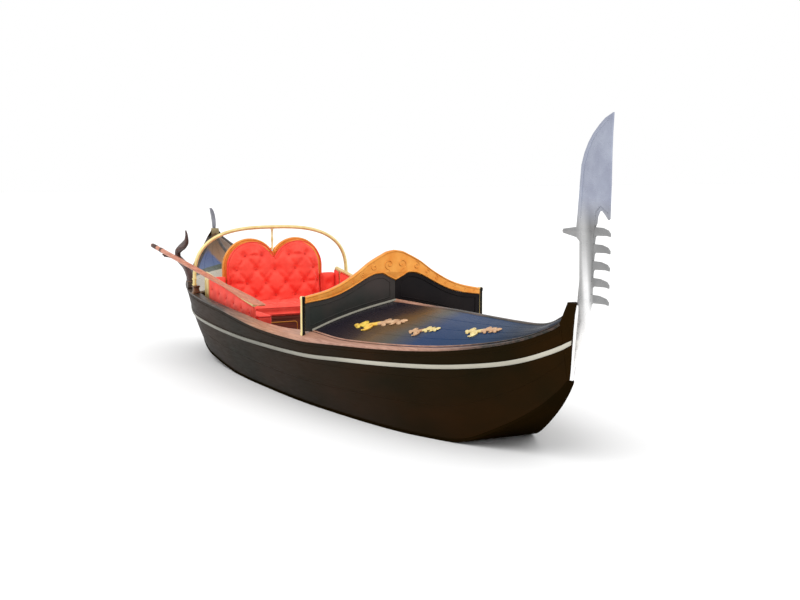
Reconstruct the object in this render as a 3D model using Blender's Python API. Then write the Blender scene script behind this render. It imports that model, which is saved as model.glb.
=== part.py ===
"""A small excursion gondola: flat-bottomed wooden rowing boat with a toothed bow iron,
a pitched foredeck behind a gilded cross board, and a buttoned double seat under a gold hoop.

Metres. +X points to the bow, +Y to port, +Z up. The origin is on the flat bottom, amidships.
"""
import math

import bmesh
import bpy

GAP = 0.0003

# Stations of the hull, stern to bow, shared by every long piece of the boat.
# Columns: x, half breadth at the sheer, sheer height, half breadth at the chine, bottom height,
# middle of the rub strip, rise of the rail above the sheer, rail width, height of the deck's
# ridge (0 over the cockpit).
STATION_COLUMNS = ("x", "beam", "sheer", "chine", "bottom", "strip", "rise", "rail", "ridge")
STATION_TABLE = (
    (-3.12, 0.075, 1.010, 0.042, 0.660, 0.860, 0.020, 0.030, 1.060),
    (-3.00, 0.165, 0.920, 0.090, 0.490, 0.755, 0.020, 0.040, 0.985),
    (-2.80, 0.315, 0.800, 0.205, 0.335, 0.612, 0.020, 0.050, 0.895),
    (-2.45, 0.492, 0.692, 0.358, 0.215, 0.492, 0.020, 0.060, 0.805),
    (-2.05, 0.652, 0.645, 0.490, 0.128, 0.435, 0.020, 0.065, 0.755),
    (-1.60, 0.748, 0.610, 0.572, 0.065, 0.405, 0.020, 0.065, 0.730),
    (-1.20, 0.770, 0.585, 0.597, 0.028, 0.388, 0.020, 0.065, 0.0),
    (-0.80, 0.778, 0.565, 0.612, 0.000, 0.378, 0.022, 0.065, 0.0),
    (-0.40, 0.780, 0.535, 0.625, 0.000, 0.376, 0.035, 0.065, 0.0),
    (0.10, 0.775, 0.505, 0.625, 0.000, 0.384, 0.045, 0.065, 0.0),
    (0.50, 0.765, 0.500, 0.615, 0.000, 0.392, 0.055, 0.065, 0.0),
    (0.86, 0.740, 0.500, 0.590, 0.000, 0.400, 0.075, 0.065, 0.757),
    (0.92, 0.733, 0.503, 0.583, 0.000, 0.402, 0.070, 0.065, 0.760),
    (1.35, 0.680, 0.530, 0.535, 0.000, 0.432, 0.030, 0.055, 0.775),
    (1.85, 0.580, 0.560, 0.452, 0.000, 0.464, 0.025, 0.050, 0.786),
    (2.30, 0.455, 0.600, 0.300, 0.000, 0.500, 0.022, 0.045, 0.791),
    (2.60, 0.352, 0.646, 0.195, 0.112, 0.540, 0.022, 0.040, 0.796),
    (2.85, 0.250, 0.700, 0.108, 0.245, 0.588, 0.022, 0.035, 0.806),
    (3.02, 0.155, 0.760, 0.060, 0.360, 0.646, 0.022, 0.030, 0.848),
    (3.10, 0.105, 0.800, 0.036, 0.432, 0.684, 0.022, 0.025, 0.895),
    (3.15, 0.075, 0.840, 0.024, 0.490, 0.710, 0.022, 0.020, 0.930),
)
STATIONS = [dict(zip(STATION_COLUMNS, row)) for row in STATION_TABLE]
STERN_END = STATIONS[0]["x"]
BOW_END = STATIONS[-1]["x"]

# Planking. LOW_SHARE is a height up the side as a share of its depth, where the planks bend.
PLANK = 0.019
BOTTOM_PLANK = 0.020
SIDE_BULGE = 0.020
LOW_SHARE = 0.38
RIB_TOP_SHARE = 0.95
BULKHEAD_TOP_SHARE = 0.99
STRIP = 0.028
STRIP_PROUD = 0.011
STRIP_REACH = 0.95
STRIP_GAP = 0.0008
RAIL_OVERHANG = 0.010
DECK = 0.016

# Butt joints across the long pieces, so that each length is a nearly straight solid.
PLANK_JOINTS = {"aft": (STERN_END, -1.20), "middle": (-1.20, 1.35), "fore": (1.35, BOW_END)}
RAIL_JOINTS = {"aft": (STERN_END, 0.10), "fore": (0.10, BOW_END)}
BOTTOM_JOINTS = {"_aft": (STERN_END, -0.80), "": (-0.80, 2.30), "_fore": (2.30, BOW_END)}

# Front edges of the two end posts: height, x.
STEM_PROFILE = ((0.470, 3.1530), (0.520, 3.1630), (0.576, 3.1720), (0.695, 3.1820), (0.813, 3.1930),
                (0.932, 3.2085), (0.973, 3.2120))
STERN_PROFILE = ((0.600, -3.135), (0.800, -3.165), (1.100, -3.190))
POST_EDGE = 0.014
POST_HEAD = 0.030

# Flat pieces across the cambered deck stand a little clear of its facets.
CAMBER_GAP = 0.0008

# Deck section: share of the half width, share of the height from edge to ridge.
CAMBER = ((0.0, 1.0), (0.38, 0.71), (0.71, 0.38), (1.0, 0.0))

# Cockpit
AFTER_DECK_X = -1.60
FOREDECK_X = 0.86
BULKHEAD = 0.018
FLOOR_TOP = 0.105
FLOOR = 0.020
FLOOR_HALF = 0.54
WALKWAY_AFT = -0.915
WALKWAY_HALF = 0.455
RIB_PLACES = (-1.30, -0.85, -0.40, 0.05, 0.50)
RIB = 0.030
RIB_DEPTH = 0.035
RIB_CLEAR = 0.0030

# Cross board at the front of the cockpit (the gilded "portela")
BOARD_X = 0.88
BOARD_HALF = 0.013
CREST_HALF = 0.019
BOARD_END = 0.720
POST_END = 0.750
POST_TOP = 0.826
# Columns: y, lower edge of the gold crest, top edge of the gold crest.
CREST_TABLE = (
    (0.000, 0.911, 1.136),
    (0.060, 0.940, 1.126),
    (0.110, 0.965, 1.103),
    (0.160, 0.962, 1.078),
    (0.210, 0.946, 1.050),
    (0.300, 0.900, 0.985),
    (0.380, 0.858, 0.936),
    (0.460, 0.824, 0.894),
    (0.560, 0.797, 0.858),
    (0.720, 0.775, 0.823),
)
MOULDING_HALF = 0.006
MOULDING_HEIGHT = 0.022

# Seats
HOOP_X = -1.560
HOOP_HALF_SPAN = 0.735
HOOP_BASE = 0.690
HOOP_LEG = 0.030
HOOP_TOP = 1.190
HOOP_POWER = 2.8
HOOP_TUBE = 0.016
STRUT_RADIUS = 0.009
LOBE_Y = 0.220
LOBE_Z = 0.835
LOBE_RADIUS = 0.238
FRAME_BORDER = 0.020
FRAME_HALF = 0.012
BACK_CUSHION = 0.100
SEAT_HALF = 0.440
SEAT_FRONT = -0.930
SEAT_BASE_TOP = 0.455
SEAT_CUSHION_TOP = 0.560
BENCH_INNER = 0.462
BENCH_OUTER = 0.655
BENCH_FORE = -0.350
BENCH_BOARD = 0.020
PAD_INNER = 0.603
TRIM = 0.018
TRIM_END = 0.095
PAD_AFT_TOP = 0.785
PAD_FORE_TOP = 0.620
WING_TOP = 0.770
WING = 0.052

# Irons at the ends: five forward teeth and one that points aft, in the plane y = 0.
IRON_HALF = 0.006
FOOT_THICKNESS = 0.010
TOOTH_PITCH = 0.096
TOOTH_COUNT = 5
FIRST_TOOTH_TOP = 1.418

# Oar and the crutch that it works in, on the starboard quarter.
OAR_Y = -0.800
OAR_AFT = (-2.627, 0.988)
OAR_SLOPE = 0.1012
OAR_LENGTH = 2.88
OAR_RADIUS = 0.021
CRUTCH_X = -2.235
PIVOT_RADIUS = 0.018
PIVOT_DEPTH = 0.014
LIP_RADIUS = 0.012
SOCKET_X = -1.870
SOCKET_HALF = 0.075
SOCKET_TOP = 0.700


def at(x):
    """Station values at x, by straight lines between the stations."""
    for low, high in zip(STATIONS, STATIONS[1:]):
        if x <= high["x"] or high is STATIONS[-1]:
            share = (x - low["x"]) / (high["x"] - low["x"])
            return {key: low[key] + share * (high[key] - low[key]) for key in STATION_COLUMNS}


def stations_between(start, end):
    """Stations from start to end, with the two ends themselves."""
    inner = [s for s in STATIONS if start + 0.001 < s["x"] < end - 0.001]
    return [at(start)] + inner + [at(end)]


def lengths(joints):
    """Name and stations of each length, half a gap back from every joint."""
    for name, (start, end) in joints.items():
        first = start + (GAP / 2 if start > STERN_END else 0.0)
        last = end - (GAP / 2 if end < BOW_END else 0.0)
        yield name, stations_between(first, last)


def levels(station):
    """Shares of the side's depth at the edges of its bands; the rub strip fills the third."""
    low = station["bottom"] + BOTTOM_PLANK + GAP
    depth = station["sheer"] - low
    strip = [(station["strip"] + edge - low) / depth for edge in (-STRIP / 2, STRIP / 2)]
    return [0.0, LOW_SHARE] + strip + [1.0]


def side(station, level):
    """Half breadth and height of the planking's outer face at a level of the side."""
    low = station["bottom"] + BOTTOM_PLANK + GAP
    bulge = SIDE_BULGE * 4.0 * level * (1.0 - level) * min(1.0, station["chine"] / 0.6)
    y = station["chine"] + (station["beam"] - station["chine"]) * level + bulge
    return y, low + (station["sheer"] - low) * level


def rail_top(station):
    """Half breadths and heights of the rail's outer and inner top edges."""
    outer = (station["beam"] + RAIL_OVERHANG, station["sheer"] + 0.6 * station["rise"])
    inner = (station["beam"] - station["rail"], station["sheer"] + station["rise"])
    return outer, inner


def deck_half(station):
    return station["beam"] - station["rail"] - GAP


def deck_top(x, y):
    """Height of the deck, or of the rail beyond it, at a place."""
    station = at(x)
    outer, inner = rail_top(station)
    half = deck_half(station)
    edge = inner[1]
    for (f0, h0), (f1, h1) in zip(CAMBER, CAMBER[1:]):
        if abs(y) <= f1 * half:
            share = (abs(y) / half - f0) / (f1 - f0)
            return edge + (station["ridge"] - edge) * (h0 + share * (h1 - h0))
    share = (abs(y) - inner[0]) / (outer[0] - inner[0])
    return inner[1] + max(0.0, share) * (outer[1] - inner[1])


def resting_height(start, end, y):
    """Height just above the deck for a flat piece that stands on it from start to end."""
    return max(deck_top(start, y), deck_top(end, y)) + CAMBER_GAP


def clear_scene():
    for old in list(bpy.data.objects):
        bpy.data.objects.remove(old, do_unlink=True)


def collection(name):
    group = bpy.data.collections.new(name)
    bpy.context.scene.collection.children.link(group)
    return group


def material(name, colour, roughness, metallic=0.0):
    paint = bpy.data.materials.new(name)
    paint.use_nodes = True
    shader = paint.node_tree.nodes["Principled BSDF"]
    shader.inputs["Base Color"].default_value = (*colour, 1.0)
    shader.inputs["Roughness"].default_value = roughness
    shader.inputs["Metallic"].default_value = metallic
    return paint


def add_object(name, data, paint):
    item = bpy.data.objects.new(name, data)
    PARTS.objects.link(item)
    data.materials.append(paint)
    return item


def loft(name, sections, paint, smooth=False):
    """Closed body through sections that all have the same number of (x, y, z) points."""
    mesh = bpy.data.meshes.new(name)
    body = bmesh.new()
    rings = [[body.verts.new(point) for point in section] for section in sections]
    count = len(rings[0])
    for first, second in zip(rings, rings[1:]):
        for i in range(count):
            j = (i + 1) % count
            body.faces.new((first[i], first[j], second[j]))
            body.faces.new((first[i], second[j], second[i]))
    body.faces.new(rings[0][::-1])
    body.faces.new(rings[-1])
    bmesh.ops.recalc_face_normals(body, faces=body.faces)
    body.to_mesh(mesh)
    body.free()
    if smooth:
        mesh.shade_smooth()
        mesh.set_sharp_from_angle(angle=math.radians(35))
    return add_object(name, mesh, paint)


def block(name, low, high, paint):
    """Box between two corners, from a unit cube."""
    mesh = bpy.data.meshes.new(name)
    body = bmesh.new()
    bmesh.ops.create_cube(body, size=1.0)
    size = [b - a for a, b in zip(low, high)]
    middle = [(a + b) / 2 for a, b in zip(low, high)]
    bmesh.ops.scale(body, vec=size, verts=body.verts)
    bmesh.ops.translate(body, vec=middle, verts=body.verts)
    body.to_mesh(mesh)
    body.free()
    return add_object(name, mesh, paint)


def plate(name, outline, half_thickness, plane, place, paint):
    """Flat outline of (across, up) points, set in the plane "XY", "XZ" or "YZ" at its place."""
    curve = bpy.data.curves.new(name, "CURVE")
    curve.dimensions = "2D"
    curve.fill_mode = "BOTH"
    curve.extrude = half_thickness
    spline = curve.splines.new("POLY")
    spline.points.add(len(outline) - 1)
    for point, (across, up) in zip(spline.points, outline):
        point.co = (across, up, 0.0, 1.0)
    spline.use_cyclic_u = True
    item = add_object(name, curve, paint)
    if plane == "XZ":
        item.rotation_euler = (math.pi / 2, 0.0, 0.0)
        item.location = (0.0, place, 0.0)
    elif plane == "XY":
        item.location = (0.0, 0.0, place)
    else:
        item.rotation_euler = (math.pi / 2, 0.0, math.pi / 2)
        item.location = (place, 0.0, 0.0)
    return item


def tube(name, points, radii, paint, sides=2):
    """Round bar through points, with a radius at each."""
    curve = bpy.data.curves.new(name, "CURVE")
    curve.dimensions = "3D"
    curve.bevel_depth = 1.0
    curve.bevel_resolution = sides
    curve.use_fill_caps = True
    spline = curve.splines.new("POLY")
    spline.points.add(len(points) - 1)
    for node, place, radius in zip(spline.points, points, radii):
        node.co = (*place, 1.0)
        node.radius = radius
    return add_object(name, curve, paint)


def as_mesh(item):
    """Replace a curve object by its welded mesh."""
    graph = bpy.context.evaluated_depsgraph_get()
    mesh = bpy.data.meshes.new_from_object(item.evaluated_get(graph))
    body = bmesh.new()
    body.from_mesh(mesh)
    bmesh.ops.remove_doubles(body, verts=body.verts, dist=0.00005)
    bmesh.ops.recalc_face_normals(body, faces=body.faces)
    body.to_mesh(mesh)
    body.free()
    name = item.name
    place = item.matrix_world.copy()
    bpy.data.objects.remove(item, do_unlink=True)
    mesh.name = name
    solid = bpy.data.objects.new(name, mesh)
    solid.matrix_world = place
    PARTS.objects.link(solid)
    return solid


def join(body, tool):
    """Boolean union of a cutter object into a body."""
    PARTS.objects.unlink(tool)
    TOOLS.objects.link(tool)
    tool.hide_render = True
    tool.display_type = "WIRE"
    union = body.modifiers.new("union", "BOOLEAN")
    union.operation = "UNION"
    union.solver = "EXACT"
    union.object = tool


def mirrored(outline):
    """Whole outline from its port half, whose first and last points are on y = 0."""
    return outline + [(-y, z) for y, z in outline[-2:0:-1]]


def build_bottom():
    for part, stations in lengths(BOTTOM_JOINTS):
        sections = []
        for s in stations:
            half = s["chine"] + 0.003
            low = s["bottom"]
            sections.append([(s["x"], y, z) for y, z in (
                (half, low), (half, low + BOTTOM_PLANK), (-half, low + BOTTOM_PLANK), (-half, low))])
        loft("hull_bottom" + part, sections, BLACK)


def build_side(name, sign):
    for part, stations in lengths(PLANK_JOINTS):
        sections = []
        for s in stations:
            outer = [side(s, level) for level in levels(s)]
            ring = [(y, z) for y, z in outer] + [(y - PLANK, z) for y, z in reversed(outer)]
            sections.append([(s["x"], sign * y, z) for y, z in ring])
        loft("side_planking_%s_%s" % (name, part), sections, BLACK)


def build_strip(name, sign):
    """Cream rub strip round the side, its fore end carried along the stem's side to its edge."""
    rows = [[(s["x"],) + side(s, level) for level in levels(s)[2:4]] for s in STATIONS]
    face = BOW_END + GAP
    rows.append([(face + STRIP_REACH * (edge - face), y + STRIP_REACH * (POST_EDGE - y), z)
                 for y, z, edge in post_rows(BOW_END, STEM_PROFILE)[2:4]])
    sections = []
    for (x0, y0, z0), (x1, y1, z1) in rows:
        ring = ((x0, y0 + STRIP_GAP, z0), (x1, y1 + STRIP_GAP, z1),
                (x1, y1 + STRIP_PROUD, z1), (x0, y0 + STRIP_PROUD, z0))
        sections.append([(x, sign * y, z) for x, y, z in ring])
    loft("rub_strip_" + name, sections, CREAM)


def build_rail(name, sign):
    for part, stations in lengths(RAIL_JOINTS):
        sections = []
        for s in stations:
            outer, inner = rail_top(s)
            low = s["sheer"] + GAP
            ring = ((outer[0], low), outer, inner, (inner[0], low))
            sections.append([(s["x"], sign * y, z) for y, z in ring])
        loft("gunwale_rail_%s_%s" % (name, part), sections, RAIL_BROWN)


def build_deck(name, start, end):
    """Cambered deck in two halves that meet along the ridge."""
    for half_name, sign in (("starboard", -1), ("port", 1)):
        sections = []
        for s in stations_between(start, end):
            half = deck_half(s)
            edge = s["sheer"] + s["rise"]
            top = [(max(f * half, GAP / 2), edge + (s["ridge"] - edge) * h) for f, h in CAMBER]
            under = [(y, z - DECK) for y, z in reversed(top)]
            sections.append([(s["x"], sign * y, z) for y, z in top + under])
        loft("%s_%s" % (name, half_name), sections, BLACK)


def post_edge(profile, z):
    """x of an end post's edge at a height."""
    for (z0, x0), (z1, x1) in zip(profile, profile[1:]):
        if z <= z1 or (z1, x1) == profile[-1]:
            return x0 + (x1 - x0) * (z - z0) / (z1 - z0)


def post_rows(end, profile):
    """Half breadth at the plank ends, height and edge of each row up an end post."""
    station = at(end)
    outer, _ = rail_top(station)
    rows = [side(station, level) for level in levels(station)] + [outer, (POST_HEAD, profile[-1][0])]
    return [(y, z, post_edge(profile, z)) for y, z in rows]


def build_end_post(name, end, direction, profile):
    """Stem or stern post: a wedge from the plank ends to its edge."""
    face = end + direction * GAP
    sections = []
    for y, z, edge in post_rows(end, profile):
        front = min(y, POST_EDGE)
        sections.append([(face, y, z), (edge, front, z), (edge, -front, z), (face, -y, z)])
    loft(name, sections, BLACK)


def side_inside(x, half_length, top_share):
    """Places just inside the planking over a short length about x, from its foot to a share of its height."""
    stations = [at(x - half_length), at(x + half_length)]
    columns = [[side(s, level) for level in levels(s)[:3] + [top_share]] for s in stations]
    return [(min(row[0][0], row[1][0]) - PLANK - RIB_CLEAR, row[0][1]) for row in zip(*columns)]


def build_rib(index, x):
    half = RIB / 2
    floor_under = FLOOR_TOP - FLOOR - GAP
    low = max(at(x - half)["bottom"], at(x + half)["bottom"]) + BOTTOM_PLANK + GAP
    outer = side_inside(x, half, RIB_TOP_SHARE)
    outer[0] = (outer[0][0], low)
    inner = [(y - RIB_DEPTH, z) for y, z in reversed(outer[1:])]
    foot = (inner[-1][0] - 0.05, floor_under)
    half_outline = [(0.0, low)] + outer + inner + [foot, (0.0, floor_under)]
    plate("rib_%d" % index, mirrored(half_outline), half, "YZ", x, DARK_WOOD)


def build_bulkhead(name, x):
    half = BULKHEAD / 2
    low = max(at(x - half)["bottom"], at(x + half)["bottom"]) + BOTTOM_PLANK + GAP
    outer = side_inside(x, half, BULKHEAD_TOP_SHARE)
    outer[0] = (outer[0][0], low)
    ends = (x - half, x + half)
    width = min(deck_half(at(end)) for end in ends) - GAP
    top = [(f * width, min(deck_top(end, f * width) for end in ends) - DECK - CAMBER_GAP)
           for f, _ in reversed(CAMBER)]
    shoulder = (width, outer[-1][1])
    plate(name, mirrored([(0.0, low)] + outer + [shoulder] + top), half, "YZ", x, DARK_WOOD)


def crest_edge(y, column):
    for low, high in zip(CREST_TABLE, CREST_TABLE[1:]):
        if y <= high[0]:
            share = (y - low[0]) / (high[0] - low[0])
            return low[column] + share * (high[column] - low[column])
    return CREST_TABLE[-1][column]


def build_cross_board():
    """Two dark panels, the gold crest on top of them, an end post each side and a foot moulding."""
    aft, fore = BOARD_X - CREST_HALF, BOARD_X + CREST_HALF
    breaks = [f * deck_half(at(BOARD_X)) for f, _ in CAMBER]
    foot = [(y, resting_height(aft, fore, y)) for y in breaks + [BOARD_END]]
    under_crest = [(y, low - GAP) for y, low, _ in reversed(CREST_TABLE)]
    for name, sign in (("starboard", -1), ("port", 1)):
        ring = [(GAP / 2, foot[0][1])] + foot[1:] + under_crest[:-1] + [(GAP / 2, under_crest[-1][1])]
        plate("board_panel_" + name, [(sign * y, z) for y, z in ring], BOARD_HALF, "YZ", BOARD_X, PANEL)
        post = [(BOARD_END + GAP, resting_height(aft, fore, BOARD_END + GAP)),
                (POST_END, resting_height(aft, fore, POST_END)),
                (POST_END, POST_TOP), (BOARD_END + GAP, POST_TOP)]
        plate("board_post_" + name, [(sign * y, z) for y, z in post], CREST_HALF, "YZ", BOARD_X, GOLD)
    lower = [(y, low) for y, low, _ in CREST_TABLE]
    upper = [(y, top) for y, _, top in reversed(CREST_TABLE)]
    plate("board_crest", mirrored(lower + upper), CREST_HALF, "YZ", BOARD_X, GOLD)
    moulding_x = BOARD_X + BOARD_HALF + GAP + MOULDING_HALF
    near, far = moulding_x - MOULDING_HALF, moulding_x + MOULDING_HALF
    places = breaks[:-1] + [deck_half(at(far)) - GAP]
    line = [(y, resting_height(near, far, y)) for y in places]
    raised = [(y, z + MOULDING_HEIGHT) for y, z in reversed(line)]
    plate("board_moulding", mirrored(line + raised), MOULDING_HALF, "YZ", moulding_x, CREAM)


def lobe_outline(border, low, inner):
    """Port half of the seat back, heart-shaped on top, between y = inner and its outer edge."""
    radius = LOBE_RADIUS + border
    steps = 9
    start = math.acos((inner - LOBE_Y) / radius)
    arc = [start * (steps - i) / steps for i in range(steps + 1)]
    curve = [(LOBE_Y + radius * math.cos(a), LOBE_Z + radius * math.sin(a)) for a in arc[::-1]]
    return [(inner, low), (LOBE_Y + radius, low)] + curve


def build_seat():
    frame_back = HOOP_X + FRAME_HALF + GAP
    outline = lobe_outline(FRAME_BORDER, FLOOR_TOP + GAP, 0.0)
    plate("seat_back_frame", mirrored(outline), FRAME_HALF, "YZ", HOOP_X, GOLD)
    block("seat_base", (frame_back, -SEAT_HALF, FLOOR_TOP + GAP),
          (SEAT_FRONT, SEAT_HALF, SEAT_BASE_TOP), RED_WOOD)
    cushion_low = SEAT_BASE_TOP + GAP
    cushion_half = BACK_CUSHION / 2
    for name, sign in (("starboard", -1), ("port", 1)):
        outline = lobe_outline(0.0, cushion_low, 0.001)
        plate("back_cushion_" + name, [(sign * y, z) for y, z in outline], cushion_half, "YZ",
              frame_back + cushion_half, CORAL)
    seat_aft = frame_back + BACK_CUSHION + GAP
    block("seat_cushion", (seat_aft, -SEAT_HALF, cushion_low),
          (SEAT_FRONT + 0.012, SEAT_HALF, SEAT_CUSHION_TOP), CORAL)


def build_bench(name, sign):
    """Side bench: a front board under a seat board, its cushion, a wing beside the seat back, and a
    trimmed pad along the hull."""
    aft = HOOP_X + FRAME_HALF + GAP
    low, top = FLOOR_TOP + GAP, SEAT_BASE_TOP
    ring = ((BENCH_INNER, low), (BENCH_INNER + BENCH_BOARD, low),
            (BENCH_INNER + BENCH_BOARD, top - BENCH_BOARD), (BENCH_OUTER, top - BENCH_BOARD),
            (BENCH_OUTER, top), (BENCH_INNER, top))
    loft("bench_" + name, [[(x, sign * y, z) for y, z in ring] for x in (aft, BENCH_FORE)], RED_WOOD)
    soft = sorted((sign * (BENCH_INNER + 0.003), sign * (PAD_INNER - GAP)))
    cushion_low = SEAT_BASE_TOP + GAP
    block("bench_cushion_" + name, (aft + 0.01, soft[0], cushion_low),
          (BENCH_FORE - 0.01, soft[1], SEAT_CUSHION_TOP), CORAL)
    wing = sorted((sign * (LOBE_Y + LOBE_RADIUS + 0.001), sign * (PAD_INNER - GAP)))
    block("wing_pad_" + name, (aft, wing[0], SEAT_CUSHION_TOP + GAP), (aft + WING, wing[1], WING_TOP), CORAL)
    post_aft = aft + 0.002
    pad_aft = post_aft + TRIM_END
    pad_fore = BENCH_FORE - 0.012
    slope = (PAD_FORE_TOP - PAD_AFT_TOP) / (pad_fore - post_aft)
    pad_aft_top = PAD_AFT_TOP + slope * TRIM_END
    half = (BENCH_OUTER - PAD_INNER) / 2
    outline = [(pad_aft + GAP, cushion_low), (pad_fore, cushion_low), (pad_fore, PAD_FORE_TOP),
               (pad_aft + GAP, pad_aft_top)]
    middle = sign * (PAD_INNER + half)
    plate("side_pad_" + name, outline, half, "XZ", middle, CORAL)
    trim = [(post_aft, cushion_low), (pad_aft, cushion_low), (pad_aft, pad_aft_top + GAP),
            (pad_fore, PAD_FORE_TOP + GAP), (pad_fore, PAD_FORE_TOP + TRIM),
            (post_aft, PAD_AFT_TOP + TRIM)]
    plate("side_trim_" + name, trim, half * 0.7, "XZ", middle, GOLD)


def build_hoop():
    """Gold hoop over the seat back, a socket on each rail and a strut down to the back."""
    steps = 22
    spring = HOOP_BASE + HOOP_LEG
    points = [(HOOP_X, -HOOP_HALF_SPAN, HOOP_BASE)]
    for i in range(steps + 1):
        angle = math.pi * i / steps
        across = math.copysign(abs(math.cos(angle)) ** (2 / HOOP_POWER), math.cos(angle))
        up = abs(math.sin(angle)) ** (2 / HOOP_POWER)
        points.append((HOOP_X, -HOOP_HALF_SPAN * across, spring + (HOOP_TOP - spring) * up))
    points.append((HOOP_X, HOOP_HALF_SPAN, HOOP_BASE))
    tube("hoop", points, [HOOP_TUBE] * len(points), GOLD)
    for name, sign in (("starboard", -1), ("port", 1)):
        ring = []
        for x in (HOOP_X - 0.028, HOOP_X + 0.028):
            outer, inner = rail_top(at(x))
            low_out, low_in = outer[1] + GAP, inner[1] + GAP
            top = HOOP_BASE - GAP
            edges = ((outer[0] - 0.002, low_out), (outer[0] - 0.010, top),
                     (inner[0] + 0.010, top), (inner[0] + 0.004, low_in))
            ring.append([(x, sign * y, z) for y, z in edges])
        loft("hoop_socket_" + name, ring, BRONZE)
    reach = LOBE_Y - STRUT_RADIUS
    foot = LOBE_Z + math.sqrt((LOBE_RADIUS + FRAME_BORDER) ** 2 - reach ** 2) + GAP
    head = HOOP_TOP - HOOP_TUBE - 2 * GAP
    tube("hoop_strut", [(HOOP_X, 0.0, foot), (HOOP_X, 0.0, head)], [STRUT_RADIUS] * 2, GOLD)


def bow_iron_outline():
    """Toothed blade: up the stem's edge from the foot, round the head, down over the teeth."""
    stem = [(edge + GAP, z) for _, z, edge in post_rows(BOW_END, STEM_PROFILE)]
    back = stem + [(3.2310, 1.108), (3.2260, 1.330), (3.195, 1.352), (3.060, 1.371), (3.053, 1.384),
                   (3.063, 1.396), (3.193, 1.412), (3.202, 1.480), (3.218, 1.623), (3.234, 1.765),
                   (3.262, 1.835), (3.300, 1.895), (3.345, 1.945), (3.400, 1.990), (3.454, 2.026),
                   (3.526, 2.054)]
    front = [(3.518, 1.950), (3.514, 1.848), (3.512, 1.629), (3.507, 1.470), (3.498, 1.462),
             (3.470, 1.488), (3.438, 1.512), (3.412, 1.508), (3.392, 1.478), (3.386, 1.440)]
    teeth = []
    for i in range(TOOTH_COUNT):
        top = FIRST_TOOTH_TOP - i * TOOTH_PITCH
        root = 3.372 - 0.006 * i
        tip = 3.514 - 0.002 * i
        teeth += [(root, top), (root + 0.070, top), (tip - 0.022, top - 0.012), (tip, top - 0.030),
                  (tip, top - 0.048), (tip - 0.030, top - 0.044), (root + 0.012, top - 0.048),
                  (root, top - 0.058)]
    foot = [(3.335, 0.935), (3.316, 0.885), (3.289, 0.796), (3.248, 0.716), (3.218, 0.660),
            (3.194, 0.600), (stem[0][0] + FOOT_THICKNESS, stem[0][1])]
    return back + front + teeth + foot


def build_irons():
    plate("bow_iron", bow_iron_outline()[::-1], IRON_HALF, "XZ", 0.0, IRON)
    top = STERN_PROFILE[-1][0] + GAP
    outline = [(-3.124, top), (-3.108, 1.140), (-3.112, 1.190), (-3.135, 1.240), (-3.175, 1.280),
               (-3.222, 1.303), (-3.272, 1.306), (-3.252, 1.262), (-3.226, 1.215), (-3.206, 1.165),
               (-3.196, 1.125), (-3.186, top)]
    plate("stern_iron", outline, IRON_HALF, "XZ", 0.0, IRON)


def oar_point(along):
    """Centre of the oar at a distance from its aft end."""
    run = along / math.hypot(1.0, OAR_SLOPE)
    return OAR_AFT[0] + run, OAR_AFT[1] - OAR_SLOPE * run


def build_oar():
    """Round loom and flat blade, through one table of sections."""
    sides = 12
    # Columns: share of the length, half width across, half thickness.
    table = ((0.0, 0.014, 0.014), (0.01, 0.018, 0.018), (0.10, OAR_RADIUS, OAR_RADIUS),
             (0.62, OAR_RADIUS, OAR_RADIUS), (0.70, 0.024, 0.015), (0.78, 0.042, 0.010),
             (0.90, 0.052, 0.008), (0.985, 0.048, 0.007), (1.0, 0.036, 0.006))
    slope = math.atan(OAR_SLOPE)
    sections = []
    for share, half_width, half_depth in table:
        x, z = oar_point(share * OAR_LENGTH)
        ring = []
        for i in range(sides):
            angle = 2 * math.pi * (i + 0.5) / sides
            up = half_depth * math.sin(angle) / math.cos(math.pi / sides)
            ring.append((x + up * math.sin(slope), OAR_Y + half_width * math.cos(angle),
                         z + up * math.cos(slope)))
        sections.append(ring)
    loft("oar", sections, OAR_BROWN, smooth=True)


def carved(name, table, paint):
    """Body of oval section along a path in the X-Z plane; columns: x, y, z, half breadth in the
    plane, half thickness across it."""
    sides = 10
    sections = []
    for i, (x, y, z, breadth, thickness) in enumerate(table):
        before, after = table[max(i - 1, 0)], table[min(i + 1, len(table) - 1)]
        dx, dz = after[0] - before[0], after[2] - before[2]
        run = math.hypot(dx, dz)
        ring = []
        for k in range(sides):
            angle = 2 * math.pi * k / sides
            off = breadth * math.cos(angle)
            ring.append((x + off * dz / run, y + thickness * math.sin(angle), z - off * dx / run))
        sections.append(ring)
    return loft(name, sections, paint)


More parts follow.
